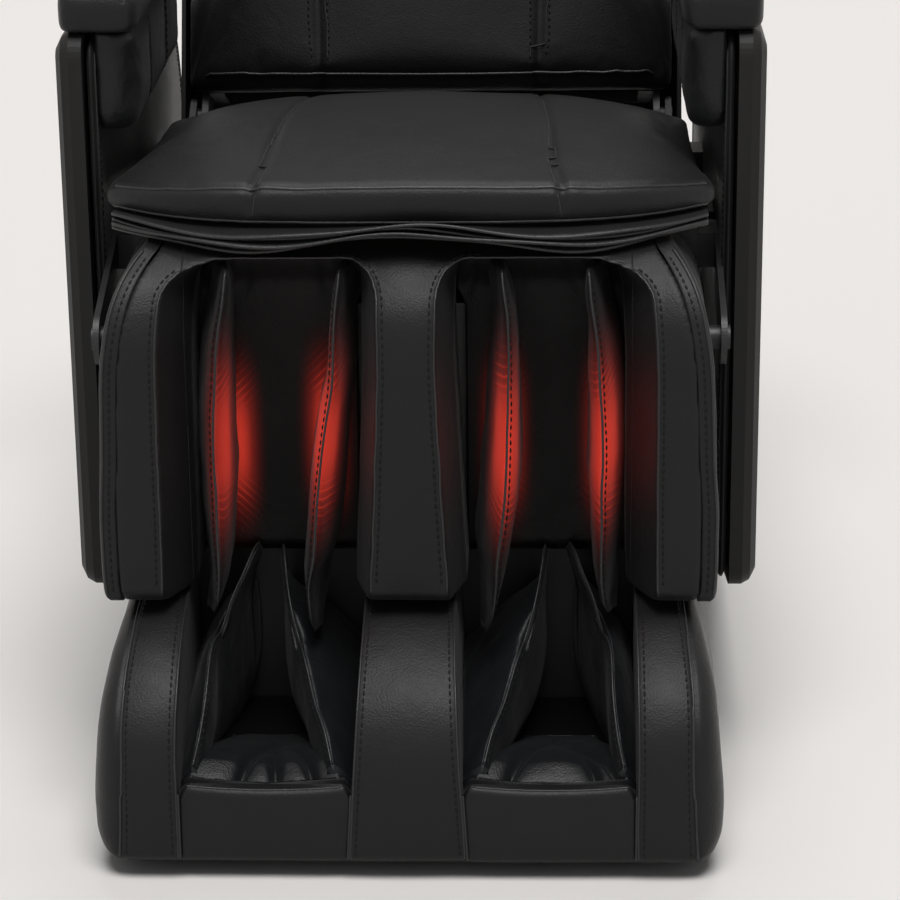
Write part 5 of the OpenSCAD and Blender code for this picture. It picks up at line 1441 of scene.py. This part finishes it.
def side_outline(inset, count=150):
    """The side shells' outline as [y, z]: a hull round their rounded corners."""
    middle = (HINGE_Y - 150, 370)
    points = []
    for y, z, r in SHELL_CORNERS:
        cy, cz = y + r * np.sign(middle[0] - y), z + r * np.sign(middle[1] - z)
        reach = max(r - inset, 4)
        points += [(cy + reach * math.cos(a), cz + reach * math.sin(a))
                   for a in np.linspace(0, 2 * math.pi, 40, endpoint=False)]
    points = sorted(points)

    def chain(items):
        out = []
        for q in items:
            while len(out) > 1 and ((out[-1][0] - out[-2][0]) * (q[1] - out[-2][1])
                                    - (out[-1][1] - out[-2][1]) * (q[0] - out[-2][0])) <= 0:
                out.pop()
            out.append(q)
        return out[:-1]
    hull = np.array(chain(points) + chain(points[::-1]))
    loop = np.vstack([hull, hull[:1]])
    return evenly(np.column_stack([loop, np.zeros(len(loop))]), count + 1)[:-1, :2]


# the liners' rounded inner face: [share of the outline, x], from the shell to the liner's middle
LINER_SHAPE = ((1, SHELL_IN - 0.3), (1, 262), (0.997, 260.2), (0.985, 259.2), (0.96, 258.6), (0.9, 257.8),
               (0.75, 257.2), (0.5, 257), (0.25, 257), (0.06, 257))


def make_side_liners():
    form = Form()
    outline = side_outline(5)
    middle = outline.mean(axis=0)
    for side in (-1, 1):
        form.rings([np.column_stack([np.full(len(outline), side * x), middle + (outline - middle) * share])
                    for share, x in LINER_SHAPE])
    piece = form.make("side_liner_padding", leather_panel)
    finer(piece)
    swell(piece, lambda p: noise(p, (50, 70, 60), 111) * 0.6)
    trim = Trim(piece)
    loop = np.vstack([outline, outline[:1]])
    for side in (-1, 1):
        edge, row = (np.column_stack([np.full(len(loop), side * 256), middle + (loop - middle) * share])
                     for share in (0.975, 0.945))
        trim.bead(edge, 1.1, 500)
        trim.row(row, 500)
    finish_piece(trim.sewn_to(piece), "chassis", "side_liners", fill=0.5)


ARM_Y0, ARM_Y1 = SHELL_Y0 + 5, HINGE_Y - 50
ARM_SEAM_X = 233.0
PANEL_X, PANEL_Y, BUTTON_STEP = HALF_BODY - 34, SHELL_Y0 + 95, 30.0


def pad_rings(a, b, radius, ring_at, steps=9):
    """Rings from a to b with rounded ends: ring_at(place, inset, share of the way)."""
    near = radius * (1 - np.cos(np.linspace(0, math.pi / 2, steps)))
    places = np.concatenate([a + near, np.linspace(a + radius, b - radius, 16)[1:-1], b - near[::-1]])
    rings = []
    for q in places:
        d = min(q - a, b - q)
        rings.append(ring_at(q, rounding(d, radius), (q - a) / (b - a)))
    return rings


def make_armrests():
    for side, name in ((-1, "left"), (1, "right")):
        def ring(y, e, t):
            x0, x1 = LINER_IN - ARM_PAD_T + 1.5 + e * 0.6, HALF_BODY - 3 - e * 0.6
            z0, z1 = ARM_Z + 0.4, ARM_Z + ARM_T - 2.5 - e - 4 * t
            return across_y(rounded_outline(box(x0, z0, x1, z1), [4, 4, 13, 13]) * (side, 1), y)
        form = Form()
        form.rings(pad_rings(ARM_Y0 + 1, ARM_Y1 - 1, 18, ring))
        piece = form.make(f"armrest_{name}_padding", leather)

        def pinned(p, side=side):
            x, y, z = np.abs(p[:, 0]), p[:, 1], p[:, 2]
            seam = bump(x - ARM_SEAM_X, 3.5) * (z > ARM_Z + 20) + bump(x - 279, 3.5) * (z > ARM_Z + 20) * (side < 0)
            panel = (side > 0) * (x > 238) * (np.abs(y - PANEL_Y - 15) < 66) * (z > ARM_Z + 20)
            return np.clip((z < ARM_Z + 4) + seam + panel, 0, 1)
        puffed(piece, 4.0, 4.0, 5, pinned)
        swell(piece, lambda p: (noise(p, (30, 60, 30), 121) * 0.6 + noise(p, (14, 20, 14), 122) * 0.25
                                - bump(np.abs(p[:, 0]) - ARM_SEAM_X, 2.5) * (p[:, 2] > ARM_Z + 25)))
        if side > 0:
            recess = Form()     # the control panel's
            outline = []
            for a in np.linspace(0, 2 * math.pi, 48, endpoint=False):
                shift = -28 if math.sin(a) < 0 else 28 + BUTTON_STEP
                outline.append((PANEL_X + 15.6 * math.cos(a), PANEL_Y + shift + 15.6 * math.sin(a)))
            recess.rings([level_ring(np.array(outline), ARM_Z + ARM_T + up) for up in (-7.2, 14)])
            cut_away(piece, recess.make("recess"))
        trim = Trim(piece)
        ys = np.linspace(ARM_Y0 + 14, ARM_Y1 - 14, 260)
        trim.bead(line_at(260, side * ARM_SEAM_X, ys, 700.0), 1.1)
        trim.row(line_at(260, side * (ARM_SEAM_X + 5), ys, 700.0))
        finish_piece(trim.sewn_to(piece), "chassis", f"armrest_{name}", fill=0.8)


def make_arm_air_pads():
    y0, y1 = ARM_Y0 + 5, ARM_Y1 - 40
    pieces = []
    cells = (y0 + 118, y0 + 236)
    for side in (-1, 1):
        def ring(y, e, t):
            x0, z0 = LINER_IN - ARM_PAD_T + 5 + e, ARM_Z - ARM_PAD_H + 5 + e
            return across_y(rounded_outline(box(x0, z0, LINER_IN - 0.5, ARM_Z - 0.5), [15, 3, 3, 12]) * (side, 1), y)
        form = Form()
        form.rings(pad_rings(y0 + 3, y1 - 3, 26, ring))
        piece = form.make("arm_air_padding", leather_flap)

        def pinned(p):
            x, y = np.abs(p[:, 0]), p[:, 1]
            seams = sum(bump(y - c, 3.5) for c in cells) * 1.2
            return np.clip((x > LINER_IN - 4) * 1.0 + seams + (p[:, 2] > ARM_Z - 4), 0, 1)
        puffed(piece, 4.5, 5.0, 9, pinned)
        swell(piece, lambda p: sum(-2.2 * bump(p[:, 1] - c, 4) for c in cells) + noise(p, (20, 30, 16), 131) * 0.7
              + noise(p, (40, 9, 40), 132) * 0.7 * sum(bump(p[:, 1] - c, 26) for c in cells))
        trim = Trim(piece)
        for c in cells:
            zs = np.linspace(ARM_Z - 2, ARM_Z - ARM_PAD_H + 8, 60)
            trim.row(line_at(60, side * 215.0, c, zs), lift=0.15)
        pieces.append(trim.sewn_to(piece))
    finish_piece(joined("arm_air_padding", pieces), "chassis", "arm_air_pads", slot="air_pad", fill=0.5)


make_seat_cushion()
make_seat_flap()
make_side_liners()
make_armrests()
make_arm_air_pads()


# ---------------------------------------------------------------- back
def back_form_of(rings_list, name, material):
    form = Form()
    for rings in rings_list:
        form.rings([from_back(r) for r in rings])
    return form.make(name, material)


def in_back(points):
    """The source's own frame to [x, behind the hinge plane, up the back]."""
    a = math.radians(BACK_LEAN)
    y, z = points[:, 1] - HINGE_Y, points[:, 2] - HINGE_Z
    return np.column_stack([points[:, 0], y * math.cos(a) - z * math.sin(a), y * math.sin(a) + z * math.cos(a)])


BACK_REAR = MEMBER_V0 - 0.4
BACK_FRONT = MEMBER_V0 - BACK_PAD_T + 5


def back_seam_x(u):
    return 104 + 14 * np.clip((np.asarray(u, float) - 60) / 500, 0, 1)


def make_back_cushion():
    rings = []
    for u in np.concatenate([[21, 22, 24, 28, 34], np.linspace(42, 650, 60), [660, 668, 674, 680, 684, 687, 688]]):
        end = math.sqrt(min(1, max(0.02, 1 - (1 - min(1, min(u - 20, 689 - u) / 30)) ** 2)))
        w = (HALF_BACK - 7) * (1 - 0.05 * np.clip((u - 560) / 130, 0, 1) ** 2)
        ring = []
        for q in np.concatenate([[-1, -0.995, -0.98, -0.95], np.linspace(-0.92, 0.92, 44), [0.95, 0.98, 0.995, 1]]):
            side = math.sqrt(max(0.03, 1 - abs(q) ** 9))
            front = BACK_FRONT + 14 * abs(q) ** 2.5 - 9 * math.sin(np.clip((u - 60) / 300, 0, 1) * math.pi)
            ring.append((q * w, BACK_REAR - 4 + (front - BACK_REAR + 4) * end * side, u))
        rings.append(ring + [(w * k, BACK_REAR, u) for k in (1, 0.5, 0, -0.5, -1)])
    piece = back_form_of([rings], "back_cushion_padding", leather)
    cross = (196.0, 372.0, 540.0)

    def seams(q):
        x, v, u = q.T
        front = v < BACK_REAR - 22
        lines = bump(np.abs(x) - back_seam_x(u), 4) + sum(bump(u - c, 4) * (np.abs(x) < back_seam_x(u)) for c in cross)
        return np.clip(lines, 0, 1) * front

    def pinned(p):
        q = in_back(p)
        return np.clip((q[:, 1] > BACK_REAR - 4) * 1.0 + seams(q) * 1.2, 0, 1)
    puffed(piece, 6.0, 4.0, 12, pinned)

    def details(p):
        q = in_back(p)
        near = bump(np.abs(q[:, 0]) - back_seam_x(q[:, 2]), 30) + sum(bump(q[:, 2] - c, 30) for c in cross)
        return (-3.0 * seams(q) + noise(q, (60, 60, 90), 141) * 1.2
                + noise(q, (22, 30, 34), 142) * 0.7 * np.clip(near, 0.2, 1))
    swell(piece, details)
    trim = Trim(piece)
    us = np.linspace(40, 668, 300)
    for side in (-1, 1):
        seam, *rows = (from_back(line_at(300, side * (back_seam_x(us) + off), -90.0, us)) for off in (0, 5, -5))
        trim.bead(seam, 0.9)
        for row in rows:
            trim.row(row)
    for c in cross:
        w = float(back_seam_x(c)) - 2
        trim.bead(from_back(line_at(90, np.linspace(-w, w, 90), -90.0, c)), 0.9)
    q = np.linspace(-0.97, 0.97, 120) * (HALF_BACK - 9)
    for u in (30, 680):
        trim.bead(from_back(line_at(120, q, -50.0, u)), 1.4)
    finish_piece(trim.sewn_to(piece), "back", "back_cushion", fill=0.75)


def make_back_wings():
    pieces = []
    for side in (-1, 1):
        def ring(u, e, t):
            x0, x1 = HALF_BACK + 1, HALF_BACK + 43 - e * 0.8
            v0, v1 = -114 + e * 1.5, 59 - e * 0.3
            return level_ring(rounded_outline(box(x0, v0, x1, v1), [17, 19, 14, 6], 7), u, side)
        piece = back_form_of([pad_rings(333, 577, 44, ring)], "back_wing_padding", leather)

        def pinned(p):
            q = in_back(p)
            return np.clip((np.abs(q[:, 0]) < HALF_BACK + 3) * 1.0 + 1.2 * bump(q[:, 1] + 30, 4), 0, 1)
        puffed(piece, 5.0, 4.0, 6, pinned)
        swell(piece, lambda p: (-2.4 * bump(in_back(p)[:, 1] + 30, 4.5) + noise(p, (30, 40, 50), 151)
                                + noise(p, (12, 16, 16), 152) * 0.35))
        trim = Trim(piece)
        us = np.linspace(372, 540, 120)
        seam, row = (from_back(line_at(120, side * (HALF_BACK + 70.0), -30.0 + off, us)) for off in (0, 5))
        trim.bead(seam, 0.9)
        trim.row(row)
        pieces.append(trim.sewn_to(piece))
    finish_piece(joined("back_wing_padding", pieces), "back", "back_wings", fill=0.7)


PILLOW_SEAM_X = 88.0


def make_head_pillow():
    front = MEMBER_V0 - BACK_PAD_T - 8
    u0, u1 = BACK_L - 180, BACK_L - 30

    def ring(u, e, t):
        half = 146 - e * 0.6
        return level_ring(rounded_outline(box(-half, front - 43 + e, half, front - 3), [18, 18, 14, 14]), u)
    dense = [evenly(np.vstack([r, r[:1]]), 161)[:-1] for r in pad_rings(u0 + 3, u1 - 3, 22, ring)]
    piece = back_form_of([dense], "head_pillow_padding", leather)

    def pinned(p):
        q = in_back(p)
        edge = bump(q[:, 1] - (front - 22), 4) * (np.abs(q[:, 0]) > 135)
        seam = 1.2 * bump(np.abs(q[:, 0]) - PILLOW_SEAM_X, 3.6) * (q[:, 1] < front - 24)
        return np.clip(seam + edge + (q[:, 1] > front - 4) * 0.9, 0, 1)
    puffed(piece, 4.5, 4.5, 10, pinned)

    def details(p):
        off = np.abs(p[:, 0]) - PILLOW_SEAM_X
        return (-2.2 * bump(off, 4) * (in_back(p)[:, 1] < front - 24) + noise(p, (36, 40, 40), 161) * 1.1
                + noise(p, (12, 16, 16), 162) * 0.4 * np.clip(0.3 + bump(off, 24), 0, 1))
    swell(piece, details)
    trim = Trim(piece)
    us = np.linspace(u0 + 10, u1 - 10, 90)
    for side in (-1, 1):
        seam, row = (from_back(line_at(90, side * (PILLOW_SEAM_X + off), front - 90.0, us)) for off in (0, 4.6))
        trim.bead(seam, 0.8)
        trim.row(row)
    # the flap that carries the pillow, over the back's top edge to its pin
    flap = Form()
    pin_v, pin_u = 6.0, BACK_L + 11
    path = [(front - 5.5, u1 - 12), (front - 6.0, u1 + 12), (front - 4.5, pin_u - 9), (front + 2, pin_u - 0.5),
            (front + 20, pin_u + 0.4), (pin_v - 12, pin_u + 0.4), (pin_v, pin_u)]
    line = spline([(v, u, 0) for v, u in path], 60)[:, :2]
    along = np.gradient(line, axis=0)
    along /= np.linalg.norm(along, axis=1)[:, None]
    normal = np.column_stack([-along[:, 1], along[:, 0]])
    rings = []
    for q, n in zip(line, normal):
        row = []
        for face in (1, -1):
            for x in np.linspace(-69.5 * face, 69.5 * face, 30):
                row.append((x, *(q + n * face * 1.5 * (1.0 if abs(x) < 66 else 0.55))))
        rings.append(from_back(row))
    flap.rings(rings)
    strap = flap.make("flap", leather)
    swell(strap, lambda p: noise(p, (40, 20, 16), 171) * 0.35)
    strap_surface = surface_of(strap)
    for x in (-64, 64):
        rows = laid_on(strap_surface, from_back([(x, v - 6, u + (6 if v > front else 0)) for v, u in line[4:-6]]), 0.1)
        trim.stitches(evenly(rows, 150), 1)
    pin = Form()
    turn = np.linspace(0, 2 * math.pi, 32, endpoint=False)
    stations = ((-78, 3.4), (-77.4, 4), (-70, 4), (-69.6, 5.2), (69.6, 5.2), (70, 4), (77.4, 4), (78, 3.4))
    pin.rings([from_back([(x, pin_v + r * math.cos(a), pin_u + r * math.sin(a)) for a in turn])
               for x, r in stations], slot=2)
    pin = pin.make("pin", leather, leather, bright_metal)
    finish_piece(joined(piece.name, [piece, strap, trim.make("trim", piping_painted_highlight, thread), pin]), "pillow", "head_pillow",
                 fill=0.6)


make_back_cushion()
make_back_wings()
make_head_pillow()


# ---------------------------------------------------------------- materials of the nodes that stay
def make_rubber(name, colour):
    return make_plastic(name, colour, rough=(0.68, 0.82), texture=0.0002, scale=700.0, specular=0.25)


cover_black = make_plastic("cover_plastic", (0.011, 0.011, 0.0115), rough=(0.5, 0.62), texture=0.00014)
frame_black = make_powder("powder_coat", (0.016, 0.0165, 0.0175))
machine_grey = make_powder("machine_paint", (0.1, 0.105, 0.112))
motor_grey = make_plastic("motor_housing", (0.022, 0.024, 0.027), rough=(0.32, 0.5))
wood_board = make_wood("plywood", (0.42, 0.28, 0.15))
rubber_black = make_rubber("rubber", (0.012, 0.012, 0.012))
wheel_urethane = make_rubber("massage_wheel_rubber", (0.45, 0.34, 0.2))
electric_black = make_plastic("electric_plastic", (0.01, 0.01, 0.01), rough=(0.25, 0.35))
button_silver = make_plastic("button_silver", (0.5, 0.52, 0.55), rough=(0.25, 0.35))
button_grey = make_plastic("button_grey", (0.14, 0.145, 0.155), rough=(0.3, 0.42))
button_red = make_plastic("button_red", (0.42, 0.02, 0.015), rough=(0.3, 0.42))
panel_gloss = make_plastic("panel_gloss", (0.008, 0.008, 0.009), rough=(0.12, 0.2), texture=0.00003, specular=0.5)
roller_grey = make_rubber("roller_rubber", (0.22, 0.225, 0.235))

FINISHES = {
    frame_black: ("base_frame", "seat_frame", "back_frame", "calf_frame"),
    rubber_black: ("base_feet", "transport_wheel_left", "transport_wheel_right"),
    wood_board: ("seat_board",),
    shell_plastic: ("side_shell_left", "side_shell_right", "back_shell", "calf_shell"),
    cover_black: ("rear_cover", "foot_tray"),
    panel_gloss: ("control_panel",),
    button_silver: ("button_power",),
    button_grey: ("button_mode",),
    button_red: ("button_heat",),
    electric_black: ("power_inlet", "power_switch"),
    motor_grey: ("air_pump", "control_box", "back_actuator_tube", "leg_actuator_tube"),
    machine_grey: ("massage_carriage", "massage_arm_left", "massage_arm_right"),
    bright_metal: ("lift_screw", "back_actuator_rod", "leg_actuator_rod", "foot_rods"),
    wheel_urethane: ("wheel_left_upper", "wheel_left_lower", "wheel_right_upper", "wheel_right_lower"),
    roller_grey: ("foot_roller",),
}
for finish, names in FINISHES.items():
    for name in names:
        for material_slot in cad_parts[name].material_slots:
            material_slot.material = finish
